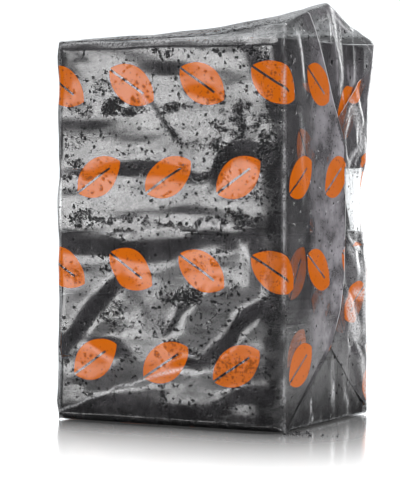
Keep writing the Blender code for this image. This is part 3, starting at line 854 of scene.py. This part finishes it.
# black patches: partly settled dust, partly painted shade along the dark bands of the folds and the foot
DUST_AND_PAINTED_SHADE = (  # how much, softness, path
    (0.75, 3.0, ((-5, 150, 5), (20, 150, 5), (45, 150, 5.5), (70, 150, 5), (104, 149, 7))),
    (0.6, 3.0, ((100, 40, 2), (98, 58, 4), (97, 70, 5), (98, 84, 5), (99, 98, 3), (98, 120, 4),
                (97, 140, 6))),
    (0.5, 3.0, ((-4, 149, 5), (4, 143, 5), (14, 147, 2))),
    (0.4, 2.0, ((78, 44, 3), (74, 54, 3), (84, 46, 3))),
    (0.35, 2.5, ((2, 78, 3), (20, 80, 4), (45, 80, 4), (60, 78, 2))),
    (0.4, 2.5, ((26, 98, 2), (18, 105, 4), (9, 115, 4))),
    (0.4, 2.5, ((72, 122, 3), (80, 115, 4), (92, 105, 3))),
    (0.35, 2.0, ((50, 50, 2), (62, 54, 3), (74, 57, 1))),
    (0.3, 3.0, ((12, 34, 3), (28, 35, 4), (45, 38, 4), (60, 41, 3))),
    (0.45, 3.0, ((47, 141, 3), (57, 139, 4), (74, 142, 3))),
    (0.45, 2.5, ((2, 137, 3), (10, 141, 3), (20, 141, 2))),
    (0.6, 2.0, ((88, 145, 2), (98, 146, 3))),
    (0.95, 0.8, ((-4, 151.6, 1.2), (104, 151.6, 1.2))),
    (0.35, 3.0, ((80, 141, 3), (92, 139, 5))),
    (0.3, 2.0, ((58, 26, 2), (74, 25.5, 3), (94, 25, 2))),
    (0.3, 2.0, ((48, 31, 2), (53, 41, 3))),
)


def grit_at(across, down):
    """How much grit presses on the film at each point of the front."""
    total = np.full_like(across, FEW)
    x_there = across + 4.0 * wander(across, down, 8, 8, 12.5) + 1.5 * wander(across, down, 2.5, 2.5, 13.5)
    y_there = down + 3.0 * wander(across, down, 8, 6, 14.5) + 1.2 * wander(across, down, 2.5, 2.5, 15.5)
    for x, y, half_width, half_height, amount in GRIT_PLACES:
        far = np.hypot((x_there - x) / half_width, (y_there - y) / half_height)
        total = np.maximum(total, amount * ease(1.3 - far))
    return total


def grit_on(at):
    """How much grit presses on each point of a strip."""
    grit = HIDDEN_GRIT
    if at.side == "front":
        grit = grit_at(at.x + HALF_X, at.down) * ease((at.down - 1.0) / 3)
    elif at.side == "top":
        grit = FEW + (MANY - FEW) * ease(1 - at.from_front / 14)
    return np.where(at.on_end, HIDDEN_GRIT, grit)


def dust_and_painted_shade_at(across, down):
    """How black the front is at each point, from dust and painted shade."""
    shaken_x = across + 3.0 * wander(across, down, 9, 7, 52.5) + 1.2 * wander(across, down, 2.4, 2.4, 53.5)
    shaken_y = down + 2.5 * wander(across, down, 9, 7, 54.5) + 1.0 * wander(across, down, 2.4, 2.4, 55.5)
    return strongest(shaken_x, shaken_y, DUST_AND_PAINTED_SHADE)


def dust_and_painted_shade_on(at):
    """How black each point of a strip is, from dust and painted shade: on the ends, darker towards the
    bottom.
    """
    # on the ends the film is painted darker towards the bottom
    ragged = 3 * wander(at.from_front, at.down, 9, 9, 56.5)
    dust = dust_and_painted_shade_at(at.x + HALF_X, at.down) if at.side == "front" else 0.0
    return np.where(at.on_end, 0.6 * ease((at.down - 130 - ragged) / 18), dust)


print("patches of grit:", len(GRIT_PLACES), "and of dust:", len(DUST_AND_PAINTED_SHADE))


# %% [markdown]
# The third number is haze: how much soot and how many scratches dull the film. More layers have more of
# it, and the ear and the flared corner, whose film lies double, have most. Over the broken cube nothing
# rubs on the film, so it stays clear there, but for a few faint grey lines of painted shade that stand
# for folds of the clear film. The fourth number is 1 where the sheet carries no print.

# %% Haze and bare film
EAR_HAZE, FLARE_HAZE, END_HAZE, BOTTOM_HAZE, FRONT_HAZE = 1.4, 1.9, 1.5, 0.8, 1.0
TOP_HAZE = ((0, 1.7), (12, 1.6), (22, 1.0), (80, 0.9))  # from the front edge
FLAP_HAZE = ((0, 0.9), (18, 1.1), (27, 2.3), (40, 2.8), (55, 2.9))  # on the front flap, from the front edge
PLEATS = (  # where the ear's film lies double: how much more haze, softness, path
    (1.4, 0.6, ((18, 0, 2.5), (23, 6, 3.2), (27, 13, 1.5))),
    (1.0, 0.6, ((22, 0.5, 1.0), (34, 1.5, 2.2), (48, 2, 2.0), (56, 3, 0.6))),
    (0.8, 1.0, ((64, 10, 3), (62, 20, 4), (56, 34, 1))),
    (1.2, 0.4, ((39, -14, 0.2), (36, -7, 0.5), (32, 0, 0.3))),
    (1.2, 0.4, ((41, -14, 0.2), (41, -8, 0.5), (38, 0, 0.3))),
    (1.2, 0.4, ((43, -13, 0.2), (46, -8, 0.5), (46, 0, 0.3))),
    (1.2, 0.4, ((42, -13, 0.2), (50, -9, 0.5), (56, -3, 0.3))),
    (1.0, 0.4, ((28, -8, 0.2), (30, 0, 0.4), (36, 8, 0.3))),
    (1.0, 0.4, ((50, 2, 0.3), (56, 8, 0.5), (58, 20, 0.3))),
    (1.0, 0.4, ((36, 2, 0.3), (44, 10, 0.5), (48, 24, 0.3))),
)
# faint grey lines of painted shade over the gap, standing for folds of the clear film
GAP_SHADE_LINES = (  # faint folds of the clear film over the gap
    ((57, 50, 0.3), (60, 58, 0.6), (58, 68, 0.3)), ((64, 50, 0.3), (62, 57, 0.5), (64, 63, 0.2)),
    ((70, 54, 0.3), (72, 63, 0.8), (73, 72, 0.4)), ((56, 60, 0.3), (57, 70, 0.6), (62, 79, 0.3)),
)


def haze_on(at, z):
    """How dull the film is at each point of a strip, where z is the point's height once it is folded."""
    x, down, from_front = at.x, at.down, at.from_front
    face, flap = END_HAZE, END_HAZE
    if at.side == "front":
        face, flap = FRONT_HAZE, read(FLAP_HAZE, from_front)
    elif at.side == "bottom":
        face, flap = BOTTOM_HAZE, BOTTOM_HAZE
    elif at.side == "top":
        face = read(TOP_HAZE, from_front)
        face = face + (EAR_HAZE - face) * ease((x + 5) / 50)
    haze = np.where(at.on_end, flap, face)
    on_right_end = at.on_end * (x > 0)
    in_ear = (x > 0) * ease((x - HALF_X + 22) / 12) * ease((14 - down) / 16) * ease((from_front - 3) / 8)
    haze = haze + (EAR_HAZE - haze) * in_ear
    in_flare = (x > 0) * ease((from_front - 66) / 6) * ease((34 - down) / 10)
    haze = haze + (FLARE_HAZE - haze) * in_flare
    if at.side == "top":
        for extra, softness, path in PLEATS:
            haze += on_right_end * extra * stroke_mask(from_front, down, softness, path)
    just_above = ease(z - TOP) * ease((TOP + 4 - z) / 2)
    haze *= 1 - 0.75 * just_above * at.on_end
    haze *= 1 - at.gap * (0.97 - 0.95 * back_edge(at))
    for path in GAP_SHADE_LINES:
        # painted shade: faint grey lines over the clear gap
        haze += at.gap * at.on_end * 0.8 * stroke_mask(from_front, down, 0.6, path)
    return haze + at.gap * 1.6 * at.on_end * ease((from_front - 73) / 2)


def back_edge(at):
    """1 along the end's edge at the back, where the film turns the corner, and 0 elsewhere."""
    return at.on_end * ease((at.from_front - 71) / 3)


def bare_on(at):
    """1 at each point of a strip that carries no print."""
    bare = (at.gap > 0.2) & (back_edge(at) < 0.8)
    if at.side == "top":
        bare |= (at.x > 10) & (~at.on_end | (at.down < 20))
    if at.side == "bottom":
        bare |= (at.x > 10) & (at.down > 127)
    return 1.0 * bare


print("pleats of the ear:", len(PLEATS), "and folds over the gap:", len(GAP_SHADE_LINES))


# %% [markdown]
# The fifth number is how white the film is. Film that is creased hard whitens along the crease, as
# plastic does when it is stretched too far, and the same white paints highlights: on the end, where folds
# mirror the lamps and the bright wall, and on the front's side edges, which are also worn. The last is
# the distance to a flap's cut edge, along which a fine pale line is painted as a highlight. The painted
# line on the back flap's cut edge is hidden as far as the front flap covers it.

# %% White creases, painted highlights and painted edge lines
NO_EDGE = 9.0  # mm, further from an edge than the material looks
# whitened creases and painted highlights on the front
FRONT_WHITE_AND_HIGHLIGHTS = (
    (0.35, 1.0, ((2, 0.8, 0.6), (50, 0.8, 0.7), (98, 0.8, 0.6))),
    (0.5, 0.7, ((2, 148, 0.3), (14, 144, 0.3), (30, 138, 0.5), (46, 132, 0.5), (60, 128, 0.2))),
    (0.35, 0.5, ((38, 19, 0.2), (46, 31, 0.3), (53, 38, 0.2))),
    (0.3, 0.6, ((20, 76.5, 0.3), (50, 75, 0.4), (80, 72, 0.3))),
    (0.3, 0.8, ((84, 78, 0.5), (87, 84, 1.0), (88, 90, 0.5))),
)
# whitened creases and painted highlights on the ends, where folds mirror the lamps and the bright wall
END_WHITE_AND_HIGHLIGHTS = (
    (0.8, 0.5, ((53.5, 32, 0.4), (57, 27, 0.9), (61, 25, 0.4))),
    (0.75, 0.6, ((57, 51, 0.4), (62, 45, 1.0), (68, 41, 0.6), (70, 36, 0.3))),
    (0.6, 0.5, ((63, 52, 0.3), (66, 46, 0.6), (71, 41, 0.4))),
    (0.7, 1.2, ((55, 102, 0.5), (60, 107, 1.5), (66, 114, 2.0), (68, 119, 0.8))),
    (0.6, 1.5, ((62, 101, 0.8), (70, 103, 1.8), (75, 101, 1.2))),
    (0.6, 0.5, ((45, 131, 0.3), (45, 140, 0.6), (44.5, 149, 0.3))),
    (0.6, 0.5, ((21, 140, 0.3), (23, 146, 0.6), (25, 150, 0.3))),
    (0.5, 0.6, ((55, 139, 0.4), (58, 147, 0.7))),
    (0.5, 0.4, ((17.5, 30, 0.2), (18, 38, 0.4), (18, 46, 0.2))),
    (0.8, 0.5, ((36, 3.5, 0.3), (45, 9, 0.5), (51, 16, 0.4), (53, 27, 0.2))),
    (0.7, 0.4, ((45, 3, 0.3), (52, 3.2, 0.4), (59, 3.5, 0.2))),
    (0.5, 0.5, ((20, 4, 0.2), (30, 4.5, 0.3), (38, 5, 0.2))),
    (0.5, 0.4, ((64, 8, 0.3), (64, 22, 0.3))),
    (0.5, 0.5, ((31, 10, 0.3), (38, 22, 0.4), (36, 34, 0.2))),
    (0.4, 0.6, ((68, 2, 0.3), (74, 6, 0.4))),
    (0.6, 0.5, ((58, 78, 0.3), (63, 84, 0.5), (69, 92, 0.3))),
    (0.5, 0.6, ((56, 101, 0.3), (60, 108, 0.5), (66, 118, 0.6), (72, 124, 0.3))),
    (0.4, 0.5, ((43, 126, 0.2), (43.5, 136, 0.4), (43, 147, 0.2))),
    (0.4, 0.5, ((55, 132, 0.2), (60, 140, 0.4), (68, 147, 0.2))),
    # wide white streaks: painted highlights of folds, and of the bright wall seen through the film
    (0.6, 2.0, ((56, 103, 2), (61, 110, 4), (66, 118, 4))),
    (0.6, 1.0, ((70, 88, 1), (73, 100, 1.6), (73, 118, 1.4))),
    (0.6, 1.2, ((66, 124, 1), (70, 134, 2), (73, 144, 1.5))),
    (0.45, 1.5, ((58, 24, 1), (64, 29, 2.5), (72, 40, 2))),
    (0.5, 1.2, ((57, 82, 1), (65, 90, 2.0), (73, 95, 1.6))),
)


def white_and_highlights_at(across, down, lines):
    """How white the film is at each point of a face: whitened creases and painted highlights."""
    shaken_x = across + 0.8 * wander(across, down, 8, 8, 33.5)
    shaken_y = down + 0.8 * wander(across, down, 8, 8, 34.5)
    return strongest(shaken_x, shaken_y, lines)


def white_and_highlights_on(at):
    """How white each point of a strip is: creases and painted highlights, also in worn patches on the
    front's side edges.
    """
    if at.side != "front":
        return np.where(at.on_end, white_and_highlights_at(at.from_front, at.down, END_WHITE_AND_HIGHLIGHTS), 0.0)
    white = np.where(at.on_end, 0.0, white_and_highlights_at(at.x + HALF_X, at.down, FRONT_WHITE_AND_HIGHLIGHTS))
    # white along the front's side edges: worn patches and a painted highlight of the turned edge
    to_corner = np.where(at.on_end, at.beyond, HALF_X - np.abs(at.x))
    in_patches = ease(1.1 * wander(at.row, at.row * 0, 9, 9, 61.5) + 0.6)
    return np.maximum(white, 0.4 * ease(1 - to_corner / 1.3) * in_patches)


def edge_far_on(at):
    """How far each point of a strip is from a cut edge that shows, where a painted highlight line lies. Low
    down, the line fades.
    """
    shows = at.on_end & (at.side in ("front", "back"))
    if at.side == "back":
        shows &= at.from_front >= read(FRONT_FLAP, at.down)
    return np.where(shows, at.reach - at.beyond, NO_EDGE) + at.on_end * 0.42 * ease((at.down - 110) / 10)


print("white creases:", len(FRONT_WHITE_AND_HIGHLIGHTS) + len(END_WHITE_AND_HIGHLIGHTS))


# %% [markdown]
# Now the strips can be folded and joined to one sheet. Each point also keeps its flat place as the UV
# map: the place that it had on the roll, in metres, with the film that rises above the block counted in.
# The print and every pattern of the film read it, so that they run over the edges and into the folds.

# %% Fold the sheet
FINE = 0.75  # mm between grid lines on the front
SHEET_NUMBERS = ("grit", "haze", "white", "edge_far", "bare", "dust_and_painted_shade")


def strip(film, side, across_pitch, right_lines, rows, flap_reach, layer, start):
    """Folds one strip of the sheet: a side of the sleeve and the two flaps that it goes over into.

    Its layer is how far the side and the flaps lie above the box, in mm, and it starts at that flat place.
    """
    bm = bmesh.new()
    at = put_on_box(bm, side, across_pitch, right_lines, rows, flap_reach)
    height = stands_off(at, layer)
    folded, rose = fold(at, height)
    flat_v = start + (at.row if side in ("front", "top") else -at.row)
    flat_v += {"front": rose, "back": -rose}.get(side, 0.0)
    values = (grit_on(at), haze_on(at, folded[:, 2]), white_and_highlights_on(at), edge_far_on(at), bare_on(at),
              dust_and_painted_shade_on(at))
    uv_layer = bm.loops.layers.uv.new("flat_sheet")
    layers = [bm.verts.layers.float.new(key) for key in SHEET_NUMBERS]
    for index, vert in enumerate(bm.verts):
        vert.co = Vector(folded[index])
        for number, value in zip(layers, values):
            vert[number] = value[index]
    flat = dict(zip(bm.verts, zip(at.flat_u * MM, flat_v * MM)))
    for face in bm.faces:
        for loop in face.loops:
            loop[uv_layer].uv = flat[loop.vert]
    mesh = bpy.data.meshes.new("strip")
    bm.to_mesh(mesh)
    bm.free()
    film.from_mesh(mesh)
    bpy.data.meshes.remove(mesh)
    print(f"{side}: {len(height)} points, {height.min():.2f} to {height.max():.2f} mm off its box")


film = bmesh.new()
film.loops.layers.uv.new("flat_sheet")
for key in SHEET_NUMBERS:
    film.verts.layers.float.new(key)
strip(film, "front", FINE, 60, spread(BOTTOM, TOP, FINE), FRONT_FLAP, (0, 2 * LAYER), 0.0)
strip(film, "top", FINE, 60, spread(-HALF_Y, HALF_Y, 1.2), TOP_FLAP, (0, 0), HEIGHT + HALF_Y)
strip(film, "bottom", 3 * FINE, 50, spread(-HALF_Y, HALF_Y, 1.5), BOTTOM_FLAP, (0, 0), -HALF_Y)
strip(film, "back", 2 * FINE, 45, spread(BOTTOM, TOP / 2 + SEAM / 2, 1.5), BACK_FLAP, (0, LAYER), 0.0)
strip(film, "back", 2 * FINE, 45, spread(TOP / 2 - SEAM / 2, TOP, 1.5), BACK_FLAP, (LAYER, 1.5 * LAYER),
      2 * HEIGHT + DEPTH)

# %% [markdown]
# The film is polypropylene, blown thin and printed in one colour on the inside. It is mostly see-through:
# soot veils it, grit shows as black specks, ink covers it, and over all of these lies the gloss of its
# two surfaces. A Principled shader with transmission would bend the light at each of them, which takes
# longer and lets less light onto the charcoal. Film of this thinness doesn't bend light, so the material
# is mixed from a transparent, a matt and a glossy shader. All of its patterns read the sheet's flat
# place.

# %% Film material
clear_film = new_material("blown_polypropylene_film")
flat_place = add(clear_film, "UVMap", uv_map="flat_sheet")
in_mm = add(clear_film, "VectorMath", {0: flat_place, "Scale": 1 / MM}, operation="SCALE")
grit, haze, white, edge_far, bare, dust_and_painted_shade = (
    add(clear_film, "Attribute", attribute_name=key).outputs["Fac"] for key in SHEET_NUMBERS)
print("numbers that the film reads:", ", ".join(SHEET_NUMBERS))

# %% [markdown]
# The print is a plain leaf with a rib, repeated in a half-drop: every other row is shifted by half a
# leaf's place and turned the other way. A picture could hold it, but arithmetic stays sharp at any size.
# Each leaf is where two large circles overlap, a point lies on it when it is within their radius, and the
# rib is left free of ink.

# %% Leaf print
LEAF_ACROSS, LEAF_DOWN = 32.0, 36.5  # mm from one leaf to the next in a row, and from row to row
LEAF_LENGTH, LEAF_WIDTH = 23.5, 15.0
LEAF_TURN = math.radians(33)
LEAF_RADIUS = ((LEAF_LENGTH / 2) ** 2 / (LEAF_WIDTH / 2) + LEAF_WIDTH / 2) / 2
FIRST_ROW = 25.5  # mm above the sheet's start
RIB, RIB_END = (0.3, 0.6), (6.0, 7.0)  # mm from the leaf's middle line and along it, where ink starts
INK_BLUR = 0.15  # mm
parts = add(clear_film, "SeparateXYZ", (in_mm,)).outputs
above = add(clear_film, "Math", (parts[1], LEAF_DOWN / 2 - FIRST_ROW), operation="ADD")
leaf_row = add(clear_film, "Math", (above, LEAF_DOWN), operation="DIVIDE")
row_number = add(clear_film, "Math", (leaf_row,), operation="FLOOR")
odd = add(clear_film, "Math", (row_number, 1.0), operation="ADD")
odd = add(clear_film, "Math", (odd, 2.0), operation="FLOORED_MODULO")
in_row = add(clear_film, "Math", (leaf_row,), operation="FRACT")
leaf_y = add(clear_film, "Math", (in_row, 0.5), operation="SUBTRACT")
leaf_y = add(clear_film, "Math", (leaf_y, LEAF_DOWN), operation="MULTIPLY")
leaf_x = add(clear_film, "Math", (odd, LEAF_ACROSS / 2, parts[0]), operation="MULTIPLY_ADD")
leaf_x = add(clear_film, "Math", (leaf_x, LEAF_ACROSS), operation="FLOORED_MODULO")
leaf_x = add(clear_film, "Math", (leaf_x, LEAF_ACROSS / 2), operation="SUBTRACT")
leans = add(clear_film, "Math", (odd, 2.0, -1.0), operation="MULTIPLY_ADD")
sine = add(clear_film, "Math", (leans, math.sin(LEAF_TURN)), operation="MULTIPLY")
along_leaf = add(clear_film, "Math", (leaf_x, math.cos(LEAF_TURN)), operation="MULTIPLY")
along_leaf = add(clear_film, "Math", (leaf_y, sine, along_leaf), operation="MULTIPLY_ADD")
across_leaf = add(clear_film, "Math", (leaf_y, math.cos(LEAF_TURN)), operation="MULTIPLY")
slanted = add(clear_film, "Math", (leaf_x, sine), operation="MULTIPLY")
across_leaf = add(clear_film, "Math", (across_leaf, slanted), operation="SUBTRACT")
off_rib = add(clear_film, "Math", (across_leaf,), operation="ABSOLUTE")
off_centre = add(clear_film, "Math", (off_rib, LEAF_RADIUS - LEAF_WIDTH / 2), operation="ADD")
from_centre = add(clear_film, "CombineXYZ", (along_leaf, off_centre))
from_centre = add(clear_film, "VectorMath", (from_centre,), operation="LENGTH").outputs["Value"]
leaf = add(clear_film, "MapRange", (from_centre, LEAF_RADIUS - INK_BLUR, LEAF_RADIUS + INK_BLUR, 1.0, 0.0),
           interpolation_type="SMOOTHSTEP")
beside_rib = add(clear_film, "MapRange", (off_rib, *RIB), interpolation_type="SMOOTHSTEP")
past_rib = add(clear_film, "MapRange", (along_leaf, *RIB_END), interpolation_type="SMOOTHSTEP")
clear_of_rib = add(clear_film, "Math", (beside_rib, past_rib), operation="MAXIMUM")
leaf = add(clear_film, "Math", (leaf, clear_of_rib), operation="MULTIPLY")
printed = add(clear_film, "MapRange", (bare, 0.4, 0.6, 1.0, 0.0), interpolation_type="SMOOTHSTEP")
ink = add(clear_film, "Math", (leaf, printed), operation="MULTIPLY")
print(f"leaf: {LEAF_LENGTH} x {LEAF_WIDTH} mm")

# %% [markdown]
# Grit is black specks of about a millimetre, single ones and small rubble, more of them where the sheet's
# number says so. Each speck is a cell of a Voronoi pattern: a random number of the cell picks it, and
# another gives its size. Real charcoal dust is finer than a tenth of a millimetre and wouldn't show one
# by one, so its grains are drawn nearly one millimetre apart. The places are shaken by noise to get
# angular specks.

# %% Soot and grit
PATTERNS = {  # how many mm across, detail, roughness
    "clump": (5.0, 3.0, 0.6),  # how grit gathers
    "wobble": (1.1, 2.0, 0.5),  # what makes specks angular
    "rubble": (1.5, 4.0, 0.65),  # grit in heaps
    "veil": (16.0, 5.0, 0.6),  # soot, denser here and there
    "rubbed": (0.9, 3.0, 0.5),  # what breaks up a white crease
}
clump, wobble, rubble, veil, rubbed = (
    add(clear_film, "TexNoise", {"Vector": in_mm, "Scale": 1 / size, "Detail": detail, "Roughness": rough},
        noise_dimensions="2D") for size, detail, rough in PATTERNS.values())
crowded = add(clear_film, "MapRange", (clump, 0.35, 0.6, 0.45, 1.3), interpolation_type="SMOOTHSTEP")
crowd = add(clear_film, "Math", (grit, crowded), operation="MULTIPLY")
shaken = add(clear_film, "VectorMath", (wobble.outputs["Color"], (0.6, 0.6, 0.6), in_mm),
             operation="MULTIPLY_ADD")

grains = []
for apart, share, everywhere, smallness, size, edge in (  # apart in mm, and sizes as shares of that
        (1.45, 0.75, 0.0, 1.6, 0.38, (-0.02, 0.06)),  # specks
        (0.85, 0.6, 0.03, 1.0, 0.32, (0.0, 0.08))):  # dust
    cells = add(clear_film, "TexVoronoi", {"Vector": shaken, "Scale": 1 / apart}, voronoi_dimensions="2D")
    pick, random_size = add(clear_film, "SeparateColor", (cells.outputs["Color"],)).outputs[:2]
    chance = add(clear_film, "Math", (crowd, share, everywhere), operation="MULTIPLY_ADD")
    chosen = add(clear_film, "Math", (pick, chance), operation="LESS_THAN")
    mostly_small = add(clear_film, "Math", (random_size, smallness), operation="POWER")
    radius = add(clear_film, "Math", (mostly_small, size, 0.12), operation="MULTIPLY_ADD")
    past_edge = add(clear_film, "Math", (cells, radius), operation="SUBTRACT")
    dark = add(clear_film, "MapRange", (past_edge, *edge, 1.0, 0.0), interpolation_type="SMOOTHSTEP")
    dark = add(clear_film, "Math", (chosen, dark), operation="MULTIPLY")
    grains.append((dark, chosen, past_edge))
(speck, chosen, past_edge), (dust, _, _) = grains
# a speck presses a dome into the film, and dust is too fine to
dome = add(clear_film, "MapRange", (past_edge, -0.05, 0.35, 1.0, 0.0), interpolation_type="SMOOTHSTEP")
dome = add(clear_film, "Math", (chosen, dome), operation="MULTIPLY")

rubble_from = add(clear_film, "Math", (crowd, -0.2, 0.72), operation="MULTIPLY_ADD")
over = add(clear_film, "Math", (rubble, rubble_from), operation="SUBTRACT")
rubble_black = add(clear_film, "MapRange", (over, 0.0, 0.02), interpolation_type="SMOOTHSTEP")
rubble_dome = add(clear_film, "MapRange", (over, -0.06, 0.03), interpolation_type="SMOOTHSTEP")
rubble_share = add(clear_film, "MapRange", (crowd, 0.2, 0.5), interpolation_type="SMOOTHSTEP")
rubble_dome = add(clear_film, "Math", (rubble_dome, rubble_share), operation="MULTIPLY")
bulge = add(clear_film, "Math", (dome, rubble_dome), operation="MAXIMUM")

# dust and painted shade blacken the film in clumps
in_clumps = add(clear_film, "MapRange", (clump, 0.3, 0.6, 0.75, 1.1), interpolation_type="SMOOTHSTEP")
black_dust_and_shade = add(clear_film, "Math", (dust_and_painted_shade, in_clumps), operation="MULTIPLY")
dust = add(clear_film, "Math", (dust, 0.85), operation="MULTIPLY")
black = add(clear_film, "Math", (speck, rubble_black), operation="MAXIMUM")
black = add(clear_film, "Math", (black, dust), operation="MAXIMUM")
black = add(clear_film, "Math", (black, black_dust_and_shade), operation="MAXIMUM")
print("patterns of the film:", ", ".join(PATTERNS))

# %% [markdown]
# Soot is the even dirt: a grey veil that takes light away and gives a little back. Haze makes it denser.
# Light that comes in at a slant crosses more film, so the film looks darker towards its turned edges.

# %% Veil of soot
DARKEST = 0.82  # the most light that soot takes away
soot = add(clear_film, "MapRange", (veil, 0.3, 0.7, 0.03, 0.12), interpolation_type="SMOOTHSTEP")
haze_squared = add(clear_film, "Math", (haze, haze), operation="MULTIPLY")
soot = add(clear_film, "Math", (soot, haze_squared), operation="MULTIPLY")
grazing = add(clear_film, "LayerWeight", (0.5,)).outputs["Facing"]
grazing = add(clear_film, "Math", (grazing, 4.0), operation="POWER")
slanting = add(clear_film, "Math", (grazing, 1.0), operation="ADD")
shade = add(clear_film, "MapRange", (veil, 0.35, 0.65, 0.2, 0.45), interpolation_type="SMOOTHSTEP")
shade = add(clear_film, "Math", (shade, haze), operation="MULTIPLY")
shade = add(clear_film, "Math", (shade, slanting), operation="MULTIPLY")
shade = add(clear_film, "Math", (shade, DARKEST), operation="MINIMUM")
clearness = add(clear_film, "Math", (1.0, shade), operation="SUBTRACT")
print(f"soot takes away up to {DARKEST:.0%} of the light")

# %% [markdown]
# Whitened film scatters light like milk, and the same milky white paints the highlights that the sheet's
# white number carries. A crease isn't white all along, so fine noise breaks it up. A cut edge gets a
# painted highlight: a line of half a millimetre, drawn by the distance to the edge, which the sheet
# carries.

# %% Whitened film and painted highlights
broken_up = add(clear_film, "MapRange", (rubbed, 0.35, 0.6, 0.3, 1.2), interpolation_type="SMOOTHSTEP")
whitened_and_highlit = add(clear_film, "Math", (white, broken_up), operation="MULTIPLY")
# painted highlight: a pale line along each cut edge that shows
painted_edge_highlight = add(clear_film, "MapRange", (edge_far, 0.25, 0.55, 0.75, 0.0), interpolation_type="SMOOTHSTEP")
whitened_and_highlit = add(clear_film, "Math", (whitened_and_highlit, painted_edge_highlight), operation="MAXIMUM")
print("film nodes so far:", len(clear_film.node_tree.nodes))

# %% [markdown]
# The shaders lie on each other in the film's own order: clear film, soot on it, black grit and dust with
# painted shade, orange ink, and milky creases with painted highlights, each mixed over the last by its
# share. Gloss comes last. Film mirrors a twelfth of the light when it is seen straight, because both of
# its surfaces mirror, and more at a slant. Grit presses small domes into it, and the rollers left faint
# streaks along it, which both show only in the gloss.

# %% Film shader
STREAK_LENGTH, STREAK_WIDTH = 30, 2.5  # mm
BUMP_HEIGHT = 0.0004  # metres
STRAIGHT_GLOSS, SLANT_GLOSS = 0.085, 0.5  # the shares of light that the two surfaces mirror
streaks = add(clear_film, "Mapping", {"Vector": in_mm, "Scale": (1 / STREAK_LENGTH, 1 / STREAK_WIDTH, 1)})
streaks = add(clear_film, "TexNoise", {"Vector": streaks, "Scale": 1.0, "Detail": 3.0},
              noise_dimensions="2D")
dimples = add(clear_film, "MapRange", (crowd, 0.15, 0.9, 0.03, 0.8), interpolation_type="SMOOTHSTEP")
dimples = add(clear_film, "Math", (rubble, dimples), operation="MULTIPLY")
bumps = add(clear_film, "Math", (bulge, 1.1, dimples), operation="MULTIPLY_ADD")
bumps = add(clear_film, "Math", (streaks, 0.14, bumps), operation="MULTIPLY_ADD")
bumps = add(clear_film, "Bump", {"Height": bumps, "Strength": 1.0, "Distance": BUMP_HEIGHT})

under_grit_and_shade = add(clear_film, "MapRange", (black, 0.2, 1.0, 0.94, 0.45), interpolation_type="SMOOTHSTEP")
ink_share = add(clear_film, "Math", (ink, under_grit_and_shade), operation="MULTIPLY")
film_shader = add(clear_film, "BsdfTransparent", (clearness,))
# grey is soot, black is grit and dust with painted shade, pale white is whitened creases with painted
# highlights
for share, hex_colour in (
        (soot, "#9B979D"), (black, "#1B1B1C"), (ink_share, "#C8630A"), (whitened_and_highlit, "#E4E4E6")):
    covering = add(clear_film, "BsdfDiffuse", (linear(hex_colour),))
    film_shader = add(clear_film, "MixShader", (share, film_shader, covering))

both_surfaces = add(clear_film, "Math", (grazing, SLANT_GLOSS, STRAIGHT_GLOSS), operation="MULTIPLY_ADD")
dull_ink = add(clear_film, "Math", (ink, 0.6), operation="MULTIPLY")
dull_grit_and_shade = add(clear_film, "Math", (black, 0.85), operation="MULTIPLY")
dulled = add(clear_film, "Math", (dull_ink, dull_grit_and_shade), operation="MAXIMUM")
undulled = add(clear_film, "Math", (1.0, dulled), operation="SUBTRACT")
gloss_share = add(clear_film, "Math", (both_surfaces, undulled), operation="MULTIPLY")
roughness = add(clear_film, "MapRange", (veil, 0.3, 0.7, 0.16, 0.27), interpolation_type="SMOOTHSTEP")
gloss = add(clear_film, "BsdfGlossy", {"Roughness": roughness, "Normal": bumps})
film_shader = add(clear_film, "MixShader", (gloss_share, film_shader, gloss))
add(clear_film, "OutputMaterial", (film_shader,))
print("film nodes:", len(clear_film.node_tree.nodes))

# %% [markdown]
# The strips meet point for point at their edges, so merging doubles joins them to one sheet. Its flat
# size is what the roll has to give: once round the pack and the seam, by the pack's width and what both
# ends need to be closed.

# %% Join the sheet
WELD = 0.02  # mm
bmesh.ops.remove_doubles(film, verts=film.verts, dist=WELD)
wrap = finish_piece("film_wrap_sheet", film, clear_film, ["film_wrap"], smooth=True)
area = sum(polygon.area for polygon in wrap.data.polygons)
print(f"film: {sum(len(p.vertices) - 2 for p in wrap.data.polygons)} triangles, {area:.4f} square metres")
